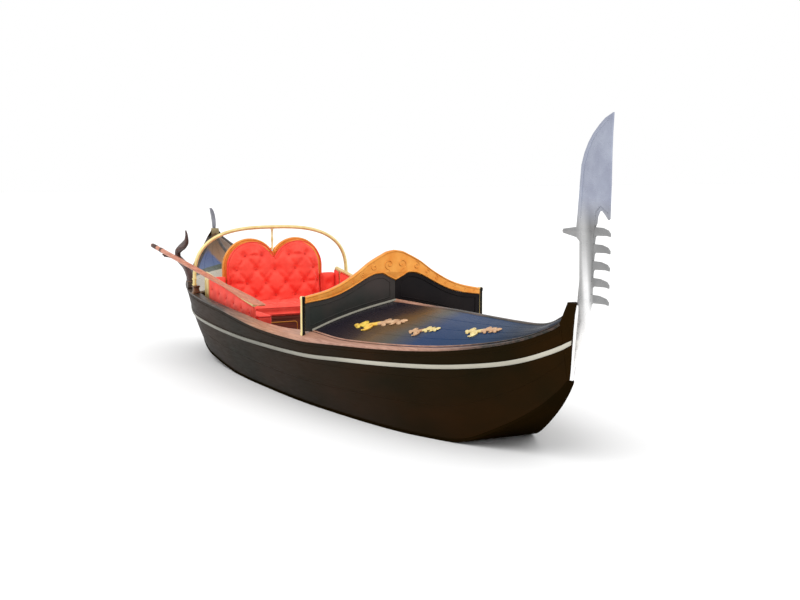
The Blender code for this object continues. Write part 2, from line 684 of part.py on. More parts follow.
def build_crutch():
    """Carved crutch on a socket block; its lip passes under the oar at the pivot."""
    slope = math.atan(OAR_SLOPE)
    centre_z = OAR_AFT[1] - OAR_SLOPE * (CRUTCH_X - OAR_AFT[0])
    lip_top = centre_z - (OAR_RADIUS + GAP) * math.cos(slope)
    lip_x = CRUTCH_X - (OAR_RADIUS + GAP) * math.sin(slope)
    ends = (SOCKET_X - SOCKET_HALF, SOCKET_X + SOCKET_HALF)
    outer, inner = rail_top(at(SOCKET_X))
    foot_y = -(outer[0] + inner[0]) / 2
    ring = []
    for x in ends:
        edge_out, edge_in = rail_top(at(x))
        edges = ((edge_out[0] - 0.002, edge_out[1] + GAP), (edge_out[0] - 0.008, SOCKET_TOP),
                 (edge_in[0] + 0.008, SOCKET_TOP), (edge_in[0] + 0.002, edge_in[1] + GAP))
        ring.append([(x, -y, z) for y, z in edges])
    loft("crutch_socket", ring, DARK_WOOD)
    # Columns: x, y, z, half breadth fore and aft, half thickness.
    path = ((SOCKET_X, foot_y, SOCKET_TOP + GAP, 0.055, 0.024), (SOCKET_X, foot_y, 0.735, 0.050, 0.026),
            (-1.905, -0.682, 0.790, 0.042, 0.026), (-1.985, -0.684, 0.838, 0.036, 0.026),
            (-2.085, -0.690, 0.872, 0.033, 0.026), (-2.150, -0.697, 0.905, 0.031, 0.025),
            (-2.143, -0.700, 0.948, 0.031, 0.025), (-2.060, -0.700, 0.988, 0.033, 0.024),
            (-1.950, -0.700, 1.025, 0.036, 0.022), (-1.880, -0.700, 1.064, 0.032, 0.018),
            (-1.874, -0.700, 1.108, 0.022, 0.012), (-1.895, -0.700, 1.158, 0.008, 0.006))
    body = carved("crutch", path, DARK_BROWN)
    lip = as_mesh(tube("crutch_lip", [(-2.130, -0.700, 0.893), (lip_x, OAR_Y, lip_top - PIVOT_DEPTH)],
                       [LIP_RADIUS + 0.003, LIP_RADIUS], DARK_BROWN, 2))
    mesh = bpy.data.meshes.new("crutch_seat")
    disc = bmesh.new()
    bmesh.ops.create_cone(disc, cap_ends=True, segments=16, radius1=PIVOT_RADIUS,
                          radius2=PIVOT_RADIUS, depth=PIVOT_DEPTH)
    disc.to_mesh(mesh)
    disc.free()
    seat = add_object("crutch_seat", mesh, DARK_BROWN)
    seat.rotation_euler = (0.0, slope, 0.0)
    drop = PIVOT_DEPTH / 2
    seat.location = (lip_x - drop * math.sin(slope), OAR_Y, lip_top - drop * math.cos(slope))
    join(body, lip)
    join(body, seat)


def build_floor():
    """Walkway between the benches, and the floor round it that the seats stand on."""
    low, top = FLOOR_TOP - FLOOR, FLOOR_TOP
    aft, fore = AFTER_DECK_X + 0.003, FOREDECK_X - 0.003
    block("floorboards", (WALKWAY_AFT, -WALKWAY_HALF, low), (fore, WALKWAY_HALF, top), DARK_WOOD)
    inner = WALKWAY_HALF + GAP
    outline = [(aft, -FLOOR_HALF), (fore, -FLOOR_HALF), (fore, -inner), (WALKWAY_AFT - GAP, -inner),
               (WALKWAY_AFT - GAP, inner), (fore, inner), (fore, FLOOR_HALF), (aft, FLOOR_HALF)]
    plate("floor_margin", outline, FLOOR / 2, "XY", (low + top) / 2, DARK_WOOD)


clear_scene()
PARTS = collection("gondola")
TOOLS = collection("gondola_cutters")
BLACK = material("lacquer_black", (0.020, 0.016, 0.012), 0.25)
CREAM = material("cream_paint", (0.75, 0.72, 0.62), 0.4)
RAIL_BROWN = material("rail_brown", (0.30, 0.17, 0.12), 0.4)
DARK_WOOD = material("dark_wood", (0.06, 0.035, 0.02), 0.5)
PANEL = material("panel_black", (0.02, 0.024, 0.035), 0.3)
GOLD = material("gold_paint", (0.83, 0.45, 0.09), 0.35, 0.6)
CORAL = material("coral_cloth", (0.90, 0.08, 0.06), 0.6)
RED_WOOD = material("red_wood", (0.38, 0.07, 0.04), 0.5)
BRONZE = material("bronze", (0.20, 0.10, 0.06), 0.4, 0.7)
IRON = material("pale_iron", (0.55, 0.56, 0.60), 0.35, 0.8)
OAR_BROWN = material("oar_brown", (0.45, 0.16, 0.09), 0.45)
DARK_BROWN = material("dark_brown", (0.05, 0.02, 0.012), 0.45)

build_bottom()
for side_name, side_sign in (("starboard", -1), ("port", 1)):
    build_side(side_name, side_sign)
    build_strip(side_name, side_sign)
    build_rail(side_name, side_sign)
    build_bench(side_name, side_sign)
build_deck("foredeck", FOREDECK_X, BOW_END)
build_deck("after_deck", STERN_END, AFTER_DECK_X)
build_end_post("stem_post", BOW_END, 1, STEM_PROFILE)
build_end_post("stern_post", STERN_END, -1, STERN_PROFILE)
for rib_index, rib_x in enumerate(RIB_PLACES, 1):
    build_rib(rib_index, rib_x)
build_bulkhead("fore_bulkhead", FOREDECK_X + BULKHEAD / 2 + 0.002)
build_bulkhead("aft_bulkhead", AFTER_DECK_X - BULKHEAD / 2 - 0.002)
build_floor()
build_cross_board()
build_seat()
build_hoop()
build_irons()
build_oar()
build_crutch()
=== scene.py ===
"""Looks of the small excursion gondola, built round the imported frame.

Metres, +X to the bow, +Y to port, +Z up, the origin on the flat bottom.
"""
import math

import bmesh
import bpy
from mathutils import Matrix, Vector


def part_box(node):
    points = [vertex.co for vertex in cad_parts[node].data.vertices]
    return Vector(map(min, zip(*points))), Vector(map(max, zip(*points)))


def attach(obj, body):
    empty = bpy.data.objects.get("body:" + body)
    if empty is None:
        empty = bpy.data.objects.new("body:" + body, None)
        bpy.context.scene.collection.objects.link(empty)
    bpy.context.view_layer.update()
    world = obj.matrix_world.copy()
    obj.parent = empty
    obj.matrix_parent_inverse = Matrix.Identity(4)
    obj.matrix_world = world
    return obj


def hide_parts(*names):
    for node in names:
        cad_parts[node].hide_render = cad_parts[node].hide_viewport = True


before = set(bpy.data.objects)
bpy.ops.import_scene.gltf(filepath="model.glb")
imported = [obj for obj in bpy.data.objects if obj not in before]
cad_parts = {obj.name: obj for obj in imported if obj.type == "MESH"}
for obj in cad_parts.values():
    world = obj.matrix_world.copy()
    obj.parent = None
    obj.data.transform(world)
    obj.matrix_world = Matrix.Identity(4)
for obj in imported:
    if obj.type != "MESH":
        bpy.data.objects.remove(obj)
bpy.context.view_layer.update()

SIDES = (("starboard", -1), ("port", 1))

# Stations of the hull, as in the part: x, half breadth at the sheer, sheer height, half breadth at
# the chine, bottom height, middle of the rub strip, rise of the rail, rail width, ridge height.
KEYS = ("beam", "sheer", "chine", "bottom", "strip", "rise", "rail", "ridge")
TABLE = (
    (-3.12, 0.075, 1.010, 0.042, 0.660, 0.860, 0.020, 0.030, 1.060),
    (-3.00, 0.165, 0.920, 0.090, 0.490, 0.755, 0.020, 0.040, 0.985),
    (-2.80, 0.315, 0.800, 0.205, 0.335, 0.612, 0.020, 0.050, 0.895),
    (-2.45, 0.492, 0.692, 0.358, 0.215, 0.492, 0.020, 0.060, 0.805),
    (-2.05, 0.652, 0.645, 0.490, 0.128, 0.435, 0.020, 0.065, 0.755),
    (-1.60, 0.748, 0.610, 0.572, 0.065, 0.405, 0.020, 0.065, 0.730),
    (-1.20, 0.770, 0.585, 0.597, 0.028, 0.388, 0.020, 0.065, 0.728),
    (-0.80, 0.778, 0.565, 0.612, 0.000, 0.378, 0.022, 0.065, 0.728),
    (-0.40, 0.780, 0.535, 0.625, 0.000, 0.376, 0.035, 0.065, 0.730),
    (0.10, 0.775, 0.505, 0.625, 0.000, 0.384, 0.045, 0.065, 0.735),
    (0.50, 0.765, 0.500, 0.615, 0.000, 0.392, 0.055, 0.065, 0.745),
    (0.86, 0.740, 0.500, 0.590, 0.000, 0.400, 0.075, 0.065, 0.757),
    (0.92, 0.733, 0.503, 0.583, 0.000, 0.402, 0.070, 0.065, 0.760),
    (1.35, 0.680, 0.530, 0.535, 0.000, 0.432, 0.030, 0.055, 0.775),
    (1.85, 0.580, 0.560, 0.452, 0.000, 0.464, 0.025, 0.050, 0.786),
    (2.30, 0.455, 0.600, 0.300, 0.000, 0.500, 0.022, 0.045, 0.791),
    (2.60, 0.352, 0.646, 0.195, 0.112, 0.540, 0.022, 0.040, 0.796),
    (2.85, 0.250, 0.700, 0.108, 0.245, 0.588, 0.022, 0.035, 0.806),
    (3.02, 0.155, 0.760, 0.060, 0.360, 0.646, 0.022, 0.030, 0.848),
    (3.10, 0.105, 0.800, 0.036, 0.432, 0.684, 0.022, 0.025, 0.895),
    (3.15, 0.075, 0.840, 0.024, 0.490, 0.710, 0.022, 0.020, 0.930),
)
STERN_END, BOW_END = TABLE[0][0], TABLE[-1][0]
AFTER_DECK_X, FOREDECK_X = -1.60, 0.86
# Outer edges of the two posts: height, x.
STEM = ((0.470, 3.1530), (0.520, 3.1630), (0.576, 3.1720), (0.695, 3.1820), (0.813, 3.1930),
        (0.932, 3.2085), (0.973, 3.2120))
STERN = ((0.600, -3.135), (0.800, -3.165), (1.100, -3.190))
PLANK, BOTTOM_PLANK, BULGE, DECK = 0.019, 0.020, 0.020, 0.016
STRIP, OVERHANG, FLOOR_TOP, POST_HALF = 0.028, 0.010, 0.105, 0.014
PITCH = 0.045  # distance between the rings of the long hull pieces
SEAM_DEPTH, DECK_SEAM_DEPTH = 0.0014, 0.0018
REST_GAP = 0.0003  # distance between pieces that touch
THIN = 0.0045  # radius of the fine beads


def smooth_curve(points):
    """Shape-keeping cubic through (x, y) points."""
    xs, ys = [p[0] for p in points], [p[1] for p in points]
    steps = [b - a for a, b in zip(xs, xs[1:])]
    rises = [(b - a) / h for a, b, h in zip(ys, ys[1:], steps)]
    slopes = [rises[0]]
    for h0, h1, d0, d1 in zip(steps, steps[1:], rises, rises[1:]):
        w0, w1 = 2 * h1 + h0, h1 + 2 * h0
        slopes.append((w0 + w1) / (w0 / d0 + w1 / d1) if d0 * d1 > 0 else 0.0)
    slopes.append(rises[-1])

    def value(x):
        x = min(max(x, xs[0]), xs[-1])
        i = 0
        while i < len(steps) - 1 and x > xs[i + 1]:
            i += 1
        h = steps[i]
        t = (x - xs[i]) / h
        return (ys[i] * (1 + 2 * t) * (1 - t) ** 2 + h * slopes[i] * t * (1 - t) ** 2
                + ys[i + 1] * t * t * (3 - 2 * t) + h * slopes[i + 1] * t * t * (t - 1))

    return value


CURVES = {key: smooth_curve([(row[0], row[i + 1]) for row in TABLE]) for i, key in enumerate(KEYS)}
CAMBER = smooth_curve(((0.0, 1.0), (0.38, 0.71), (0.71, 0.38), (1.0, 0.0)))


def at(x):
    """Station values at x, averaged over a short length so that the curve has no kinks."""
    reach = max(0.0, min(0.05, (x - STERN_END) / 2.2, (BOW_END - x) / 2.2))
    return {key: sum(curve(x + reach * k) for k in (-2, -1, 0, 1, 2)) / 5 if reach else curve(x)
            for key, curve in CURVES.items()}


def span(low, high, count):
    return [low + (high - low) * i / count for i in range(count + 1)]


def circle(count):
    return [(math.cos(a), math.sin(a)) for a in (2 * math.pi * k / count for k in range(count))]


def clamp(value):
    return max(0.0, min(1.0, value))


def spread(start, end, pitch):
    """Evenly spaced places from start to end, closer together near the two ends of the hull."""
    places, x = [], start
    while x < end - 1e-6:
        places.append(x)
        x += pitch * (0.4 if min(abs(x - STERN_END), abs(BOW_END - x)) < 0.35 else 1.0)
    if end - places[-1] < pitch * 0.2:
        places.pop()
    return places + [end]


def along(start, end, pitch, section, sign=1):
    """Rings through the (y, z) points that a section gives at each station."""
    return [[(x, sign * y, z) for y, z in section(at(x))] for x in spread(start, end, pitch)]


def side(s, level):
    """Half breadth and height of the planking's outer face at a share of its depth."""
    low = s["bottom"] + BOTTOM_PLANK
    bulge = BULGE * 4.0 * level * (1.0 - level) * min(1.0, s["chine"] / 0.6)
    return s["chine"] + (s["beam"] - s["chine"]) * level + bulge, low + (s["sheer"] - low) * level


def side_at(s, z):
    low = s["bottom"] + BOTTOM_PLANK
    return side(s, (z - low) / (s["sheer"] - low))


def deck_half(s):
    return s["beam"] - s["rail"]


def rail_edges(s):
    return ((s["beam"] + OVERHANG, s["sheer"] + 0.6 * s["rise"]), (deck_half(s), s["sheer"] + s["rise"]))


def deck_z(s, y):
    edge = s["sheer"] + s["rise"]
    return edge + (s["ridge"] - edge) * CAMBER(min(1.0, abs(y) / deck_half(s)))


def post_edge(profile, z):
    for (z0, x0), (z1, x1) in zip(profile, profile[1:]):
        if z <= z1 or (z1, x1) == profile[-1]:
            return x0 + (x1 - x0) * (z - z0) / (z1 - z0)


# Meshes
def place(name, mesh):
    item = bpy.data.objects.new(name, mesh)
    bpy.context.scene.collection.objects.link(item)
    return item


def finish_mesh(body, paint, angle=38, smooth=True):
    """Object from a closed bmesh, with its faces turned outwards."""
    bmesh.ops.recalc_face_normals(body, faces=body.faces)
    if body.calc_volume(signed=True) < 0:
        bmesh.ops.reverse_faces(body, faces=body.faces)
    mesh = bpy.data.meshes.new("part")
    body.to_mesh(mesh)
    body.free()
    if smooth:
        mesh.shade_smooth()
        mesh.set_sharp_from_angle(angle=math.radians(angle))
    mesh.materials.append(paint)
    return place("part", mesh)


def loft(rings, paint, angle=38, closed=False, split=False):
    """Skin through rings of the same number of points; split cuts the two end faces into triangles."""
    body = bmesh.new()
    rows = [[body.verts.new(p) for p in ring] for ring in rings]
    for first, second in zip(rows, rows[1:] + rows[:1] if closed else rows[1:]):
        for i in range(len(first)):
            j = (i + 1) % len(first)
            body.faces.new((first[i], first[j], second[j], second[i]))
    if not closed:
        caps = [body.faces.new(rows[0][::-1]), body.faces.new(rows[-1])]
        if split:
            bmesh.ops.triangulate(body, faces=caps)
    return finish_mesh(body, paint, angle)


def rounded(points, radius, steps=3):
    """Closed 2-D outline with its corners rounded."""
    out = []
    for i in range(len(points)):
        here, before, after = (Vector(points[k % len(points)]) for k in (i, i - 1, i + 1))
        back, ahead = before - here, after - here
        r = min(radius, back.length * 0.45, ahead.length * 0.45)
        start, end = here + back.normalized() * r, here + ahead.normalized() * r
        for t in (k / steps for k in range(steps + 1)):
            out.append(tuple(start * (1 - t) ** 2 + here * 2 * t * (1 - t) + end * t * t))
    return out


def box_ring(x0, y0, x1, y1, radius, steps=3):
    return rounded([(x0, y0), (x1, y0), (x1, y1), (x0, y1)], radius, steps)


def fixed_mesh(item, modifier=None):
    """Mesh of an object as evaluated; a modifier named is taken off and its result kept."""
    mesh = bpy.data.meshes.new_from_object(item.evaluated_get(bpy.context.evaluated_depsgraph_get()))
    if modifier:
        item.modifiers.remove(modifier)
        item.data = mesh
    return mesh


def plate(outline, half, plane, offset, paint, edge, steps=2):
    """Flat outline in the YZ or XZ plane, with rounded edges; its faces lie half away from the plane."""
    curve = bpy.data.curves.new("outline", "CURVE")
    curve.dimensions, curve.fill_mode = "2D", "BOTH"
    curve.extrude, curve.offset = half - edge, -edge
    curve.bevel_depth, curve.bevel_resolution = edge, steps
    spline = curve.splines.new("POLY")
    spline.points.add(len(outline) - 1)
    for point, (across, up) in zip(spline.points, outline):
        point.co = (across, up, 0.0, 1.0)
    spline.use_cyclic_u = True
    flat = place("outline", curve)
    body = bmesh.new()
    body.from_mesh(fixed_mesh(flat))
    bpy.data.objects.remove(flat, do_unlink=True)
    bmesh.ops.remove_doubles(body, verts=body.verts, dist=0.00005)
    for v in body.verts:
        across, up, out = v.co
        v.co = (offset + out, across, up) if plane == "YZ" else (across, offset + out, up)
    return finish_mesh(body, paint, 40)


def tube(points, radii, paint, sides=8, closed=False, squash=1.0):
    """Round bar through points; radii is one number or one for each point."""
    if not isinstance(radii, (list, tuple)):
        radii = [radii] * len(points)
    points = [Vector(p) for p in points]
    rings, across = [], None
    for i, (p, radius) in enumerate(zip(points, radii)):
        before = points[i - 1] if (closed or i) else p
        after = points[(i + 1) % len(points)] if (closed or i < len(points) - 1) else p
        ahead = (after - before).normalized()
        across = across or ahead.orthogonal().normalized()
        across = (across - ahead * across.dot(ahead)).normalized()
        up = ahead.cross(across)
        rings.append([p + (across * c + up * s * squash) * radius for c, s in circle(sides)])
    return loft(rings, paint, 50, closed)


def turned(profile, paint, centre, axis=(0, 0, 1), sides=24):
    """Lathe-turned form: (radius, height) pairs along an axis."""
    turn = Vector((0, 0, 1)).rotation_difference(Vector(axis)).to_matrix()
    return loft([[Vector(centre) + turn @ Vector((r * c, r * s, h)) for c, s in circle(sides)]
                 for r, h in profile], paint, 45)


def stud(foot, shoulder, rise, top, paint, centre, axis=(0, 0, 1), sides=12):
    """Small domed head: radii at the foot and the shoulder, heights of the shoulder and the top."""
    return turned([(0.0, 0.0), (foot, 0.0), (shoulder, rise), (0.0, top)], paint, centre, axis, sides)


def repaint(item, paint, chosen):
    """Second material on the faces whose normal passes the test."""
    item.data.materials.append(paint)
    for face in item.data.polygons:
        if chosen(face.normal):
            face.material_index = 1
    return item


def joined(name, items):
    """One object from several, keeping their materials."""
    body = bmesh.new()
    slots = []
    for item in items:
        start = len(body.faces)
        body.from_mesh(item.data)
        body.faces.ensure_lookup_table()
        slots += [m for m in item.data.materials if m not in slots]
        index = [slots.index(m) for m in item.data.materials]
        for face in body.faces[start:]:
            face.material_index = index[face.material_index]
        bpy.data.objects.remove(item, do_unlink=True)
    mesh = bpy.data.meshes.new(name)
    body.to_mesh(mesh)
    body.free()
    for m in slots:
        mesh.materials.append(m)
    return place(name, mesh)


def bead_at(x, line, radius, paint, sides=8, closed=False):
    """Bead through (y, z) points in the plane at x."""
    return tube([(x, y, z) for y, z in line], radius, paint, sides, closed)


def settle(name, parts, slot, *nodes, body="hull", fill=None):
    """Name a finished piece, fix it to its body and let it stand for CAD nodes; its slot is not used."""
    item = joined(name, parts) if isinstance(parts, list) else parts
    item.name = item.data.name = name
    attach(item, body)
    if nodes:
        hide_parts(*nodes)
    return item


# Materials
class Paint:
    """A node material under construction; uniform numbers go straight on the shader's sockets."""

    def __init__(self, name, **shader):
        self.material = bpy.data.materials.new(name)
        self.material.use_nodes = True
        self.tree = self.material.node_tree
        self.shader = self.tree.nodes["Principled BSDF"]
        self.object = self.node("TexCoord", "Object")
        self.normal = None
        for key, value in shader.items():
            self.shader.inputs[key.replace("_", " ")].default_value = value

    def feed(self, socket, value):
        """Set a socket to a number, a colour or another node's output."""
        if isinstance(value, bpy.types.NodeSocket):
            self.tree.links.new(value, socket)
        else:
            socket.default_value = (*value, 1.0) if socket.type == "RGBA" else value

    def node(self, kind, output=0, inputs=(), **settings):
        node = self.tree.nodes.new("ShaderNode" + kind)
        for key, value in settings.items():
            setattr(node, key, value)
        for key, value in dict(inputs).items():
            self.feed(node.inputs[key], value)
        return node.outputs[output]

    def noise(self, scale, detail=4.0, rough=0.55, stretch=(1, 1, 1), distortion=0.0):
        vector = self.node("Mapping", inputs={"Vector": self.object, "Scale": stretch})
        return self.node("TexNoise", "Fac", {"Vector": vector, "Scale": scale, "Detail": detail,
                                             "Roughness": rough, "Distortion": distortion})

    def ramp(self, source, *stops):
        """Colour ramp; each stop is a place and a grey or a colour."""
        out = self.node("ValToRGB", "Color", {"Fac": source})
        band = out.node.color_ramp
        while len(band.elements) < len(stops):
            band.elements.new(0.5)
        for element, (position, colour) in zip(band.elements, stops):
            element.position = position
            element.color = (*(colour if isinstance(colour, tuple) else (colour,) * 3), 1.0)
        return out

    def fade(self, source, start, end, low=0.0, high=1.0):
        return self.ramp(source, (start, low), (end, high))

    def axis(self, letter, low, high):
        """0 to 1 along one of the object's axes."""
        value = self.node("SeparateXYZ", letter, {0: self.object})
        return self.node("MapRange", "Result", {"Value": value, "From Min": low, "From Max": high}, clamp=False)

    def maths(self, kind, a, b=0.0):
        return self.node("Math", 0, {0: a, 1: b}, operation=kind)

    def mix(self, share, a, b):
        return self.node("Mix", 2, {0: share, 6: a, 7: b}, data_type="RGBA")

    def bump(self, height, strength, distance):
        inputs = {"Height": height, "Strength": strength, "Distance": distance}
        if self.normal:
            inputs["Normal"] = self.normal
        self.normal = self.node("Bump", "Normal", inputs)
        self.feed(self.shader.inputs["Normal"], self.normal)

    def finish(self, colour, grain, rough, strength, distance, height=None):
        """Colour; roughness by the grain as (start, end, low, high); relief of the grain or of a height."""
        self.feed(self.shader.inputs["Base Color"], colour)
        self.feed(self.shader.inputs["Roughness"], self.fade(grain, *rough))
        self.bump(height or grain, strength, distance)
        return self.material


def lacquer(name, dark, light, rough, specular, coat, relief, tint=(1, 1, 1)):
    p = Paint(name, Specular_IOR_Level=specular, Coat_Weight=coat, Coat_Roughness=0.18,
              Specular_Tint=(*tint, 1.0))
    cloud = p.fade(p.noise(1.1, 3.0, stretch=(1, 2.2, 2.2)), 0.35, 0.68)
    p.finish(p.mix(cloud, dark, light), p.noise(26, 5.0, stretch=(0.35, 1, 3)), (0.3, 0.75, *rough),
             relief, 0.0012)
    p.bump(p.noise(3.2, 2.0, stretch=(0.4, 1, 1)), 1.2 * relief, 0.004)
    return p.material


def wood(name, dark, light, rough=(0.55, 0.34), specular=0.35, stretch=(0.22, 3.0, 3.0), coat=0.0, scale=14):
    p = Paint(name, Specular_IOR_Level=specular, Coat_Weight=coat, Coat_Roughness=0.2)
    grain = p.noise(scale, 7.0, 0.62, stretch, 1.4)
    fine = p.noise(scale * 9, 3.0, 0.6, stretch)
    blend = p.maths("ADD", p.maths("MULTIPLY", grain, 0.75), p.maths("MULTIPLY", fine, 0.25))
    middle = tuple((a + b) / 2 for a, b in zip(dark, light))
    return p.finish(p.ramp(blend, (0.36, dark), (0.52, middle), (0.64, light)), grain, (0.35, 0.7, *rough),
                    0.25, 0.0015, blend)


def metal(name, dark, light, rough, metallic, scale, relief=0.15):
    p = Paint(name, Metallic=metallic)
    patches = p.fade(p.noise(scale * 0.25, 4.0, 0.6), 0.3, 0.7)
    return p.finish(p.mix(patches, dark, light), p.noise(scale, 5.0, 0.6), (0.3, 0.72, *rough), relief, 0.0008)


def cloth(name, deep, bright):
    """Short-piled upholstery: fine ribs under a soft pile."""
    p = Paint(name, Sheen_Weight=0.10, Sheen_Roughness=0.45, Specular_IOR_Level=0.18)
    pile = p.fade(p.noise(9, 4.0, 0.6), 0.32, 0.7)
    p.finish(p.mix(pile, deep, bright), p.noise(420, 2.0, 0.5), (0.3, 0.7, 0.50, 0.66), 0.22, 0.0006)
    p.bump(p.noise(55, 3.0, 0.5), 0.12, 0.0012)
    return p.material


def iron_paint():
    """Brushed iron: bluish on the high blade; lower down grey at the edges and pale along the middle, a painted
    highlight along the middle of the stem with painted shade towards its edges.
    """
    p = Paint("pale_iron", Metallic=0.75)
    patches = p.fade(p.noise(7, 4.0, 0.6), 0.3, 0.7)
    high = p.mix(patches, (0.29, 0.31, 0.40), (0.39, 0.42, 0.51))
    across = p.maths("SUBTRACT", p.axis("X", 3.20, 3.42), p.maths("MULTIPLY", p.axis("Z", 1.10, 0.70), 0.22))
    # Paler in the middle of the stem than at its edges: painted highlight and painted shade.
    grey = p.ramp(across, (0.08, 0.24), (0.24, 0.32), (0.36, 0.44), (0.50, 0.44), (0.62, 0.32), (0.76, 0.19),
                  (0.95, 0.22))
    pale = p.ramp(across, (0.08, 0.26), (0.24, 0.44), (0.36, 0.88), (0.50, 0.90), (0.60, 0.50), (0.74, 0.21),
                  (0.95, 0.25))
    low = p.mix(p.fade(p.axis("Z", 1.36, 1.06), 0.1, 0.9), grey, pale)
    low = p.mix(p.maths("MULTIPLY", patches, 0.16), low, (0.60, 0.61, 0.62))
    low = p.mix(p.fade(p.axis("Z", 0.80, 1.00), 0.0, 1.0, 1.0, 0.0), low, (0.90, 0.89, 0.88))
    return p.finish(p.mix(p.fade(p.axis("Z", 1.40, 1.60), 0.1, 0.9), low, high), p.noise(30, 5.0, 0.6, (1, 1, 4)),
                    (0.3, 0.72, 0.24, 0.42), 0.15, 0.0008)


def cream_paint():
    """Cream paint of the mouldings: lighter towards the bow, darker and greyer towards the stern."""
    p = Paint("cream_paint", Specular_IOR_Level=0.3)
    cloud = p.fade(p.noise(1.1, 3.0, stretch=(1, 2.2, 2.2)), 0.35, 0.68)
    # Darker grey mix towards the stern, paler cream towards the bow.
    stern_grey = p.mix(cloud, (0.155, 0.150, 0.120), (0.25, 0.24, 0.20))
    bow_cream = p.mix(cloud, (0.40, 0.38, 0.31), (0.54, 0.51, 0.43))
    share = p.ramp(p.axis("X", -3.2, 3.2), (0.50, 0.0), (0.60, 0.12), (0.70, 0.6), (0.80, 1.0))
    return p.finish(p.mix(share, stern_grey, bow_cream), p.noise(26, 5.0, stretch=(0.35, 1, 3)), (0.3, 0.75, 0.34, 0.5),
                    0.08, 0.0010)


def oar_paint():
    """Varnished oar: pinkish-brown at the grip, a warmer red-brown towards the blade."""
    p = Paint("oar_wood", Specular_IOR_Level=0.3, Coat_Weight=0.08, Coat_Roughness=0.2)
    grain = p.noise(18, 7.0, 0.62, (0.22, 3, 3), 1.4)
    grip = p.fade(grain, 0.36, 0.64, (0.42, 0.145, 0.085), (0.64, 0.275, 0.170))
    blade = p.fade(grain, 0.36, 0.64, (0.38, 0.095, 0.042), (0.60, 0.190, 0.085))
    return p.finish(p.mix(p.fade(p.axis("X", -2.4, -0.6), 0.2, 0.8), grip, blade), grain, (0.35, 0.7, 0.55, 0.36),
                    0.2, 0.0012)


def rail_paint(name, *bands):
    """Rail: dark aft and towards the bow, brown varnish by the seat and the cross board."""
    p = Paint(name, Specular_IOR_Level=0.25, Coat_Weight=0.08, Coat_Roughness=0.2)
    grain = p.noise(16, 7.0, 0.62, (0.22, 3, 3), 1.2)
    tan = p.fade(grain, 0.36, 0.64, (0.33, 0.135, 0.065), (0.52, 0.235, 0.120))
    pink = p.fade(grain, 0.36, 0.64, (0.33, 0.165, 0.115), (0.50, 0.280, 0.205))
    brown = p.mix(p.fade(p.axis("X", 0.1, 1.3), 0.1, 0.9), tan, pink)
    dark = p.fade(grain, 0.40, 0.62, (0.014, 0.016, 0.012), (0.085, 0.052, 0.040))
    run = p.maths("ADD", p.axis("X", -3.2, 3.2), p.maths("MULTIPLY", p.noise(3), 0.05))
    return p.finish(p.mix(p.ramp(run, *bands), dark, brown), grain, (0.35, 0.7, 0.5, 0.34), 0.2, 0.0012)


def deck_paint():
    """Deck lacquer: near black by the cross board; an olive-brown patch, then deep blue further forward: painted
    reflections on the black lacquer, the blue a painted reflection of sky.
    """
    p = Paint("deck_lacquer_painted_reflections", Specular_IOR_Level=0.034)
    run = p.maths("ADD", p.axis("X", 0.9, 3.2), p.maths("MULTIPLY", p.noise(1.7, 3.0, 0.5, (1, 1.3, 1)), 0.16))
    # Olive-brown and blue stops are painted reflections on the black lacquer, the blue one of sky.
    colour = p.ramp(run, (0.14, (0.016, 0.013, 0.019)), (0.27, (0.030, 0.021, 0.021)),
                    (0.37, (0.105, 0.060, 0.025)), (0.46, (0.070, 0.064, 0.052)),
                    (0.56, (0.015, 0.038, 0.105)), (0.80, (0.011, 0.034, 0.084)),
                    (0.94, (0.006, 0.012, 0.026)))
    return p.finish(colour, p.noise(30, 5.0, 0.6, (0.3, 2, 1)), (0.3, 0.75, 0.22, 0.40), 0.06, 0.0008)


def after_deck_paint():
    """After deck: pale behind the seat, a painted glare; then a green band, blue, a painted reflection of sky, and
    brown at the stern.
    """
    p = Paint("after_deck_lacquer_painted_reflections", Specular_IOR_Level=0.2, Coat_Weight=0.08, Coat_Roughness=0.15)
    run = p.maths("ADD", p.axis("X", -3.12, -1.60), p.maths("MULTIPLY", p.noise(2.2, 2.0), 0.03))
    # Blue stops: painted reflection of sky; pale stops at the fore end: painted glare.
    outer = p.ramp(run, (0.12, (0.075, 0.045, 0.028)), (0.20, (0.032, 0.050, 0.140)),
                   (0.405, (0.024, 0.060, 0.170)), (0.417, (0.016, 0.030, 0.012)),
                   (0.515, (0.024, 0.036, 0.014)), (0.524, (0.42, 0.37, 0.29)))
    inner = p.ramp(run, (0.10, (0.110, 0.060, 0.030)), (0.40, (0.250, 0.115, 0.045)),
                   (0.515, (0.120, 0.060, 0.026)), (0.524, (0.42, 0.37, 0.29)))
    breadth = p.maths("ADD", p.maths("ABSOLUTE", p.axis("Y", 0.0, 1.0)), p.maths("MULTIPLY", p.noise(4.0, 2.0), 0.06))
    return p.finish(p.mix(p.fade(breadth, 0.165, 0.185), inner, outer), p.noise(30, 5.0, 0.6, (0.3, 2, 1)),
                    (0.3, 0.75, 0.24, 0.42), 0.06, 0.0008)


HULL = lacquer("hull_lacquer", (0.0075, 0.0052, 0.0014), (0.0175, 0.0070, 0.0013), (0.40, 0.50), 0.034, 0.006,
               0.04, (1.0, 0.66, 0.30))
# Bottom: the hull lacquer made darker, painted shade of the underside.
BOTTOM = lacquer("bottom_lacquer_painted_shade", (0.0060, 0.0042, 0.0014), (0.0105, 0.0054, 0.0014), (0.6, 0.8), 0.0, 0.0,
                 0.04, (1.0, 0.70, 0.36))
PANEL = lacquer("panel_lacquer", (0.006, 0.005, 0.006), (0.014, 0.010, 0.010), (0.30, 0.42), 0.07, 0.02, 0.05)
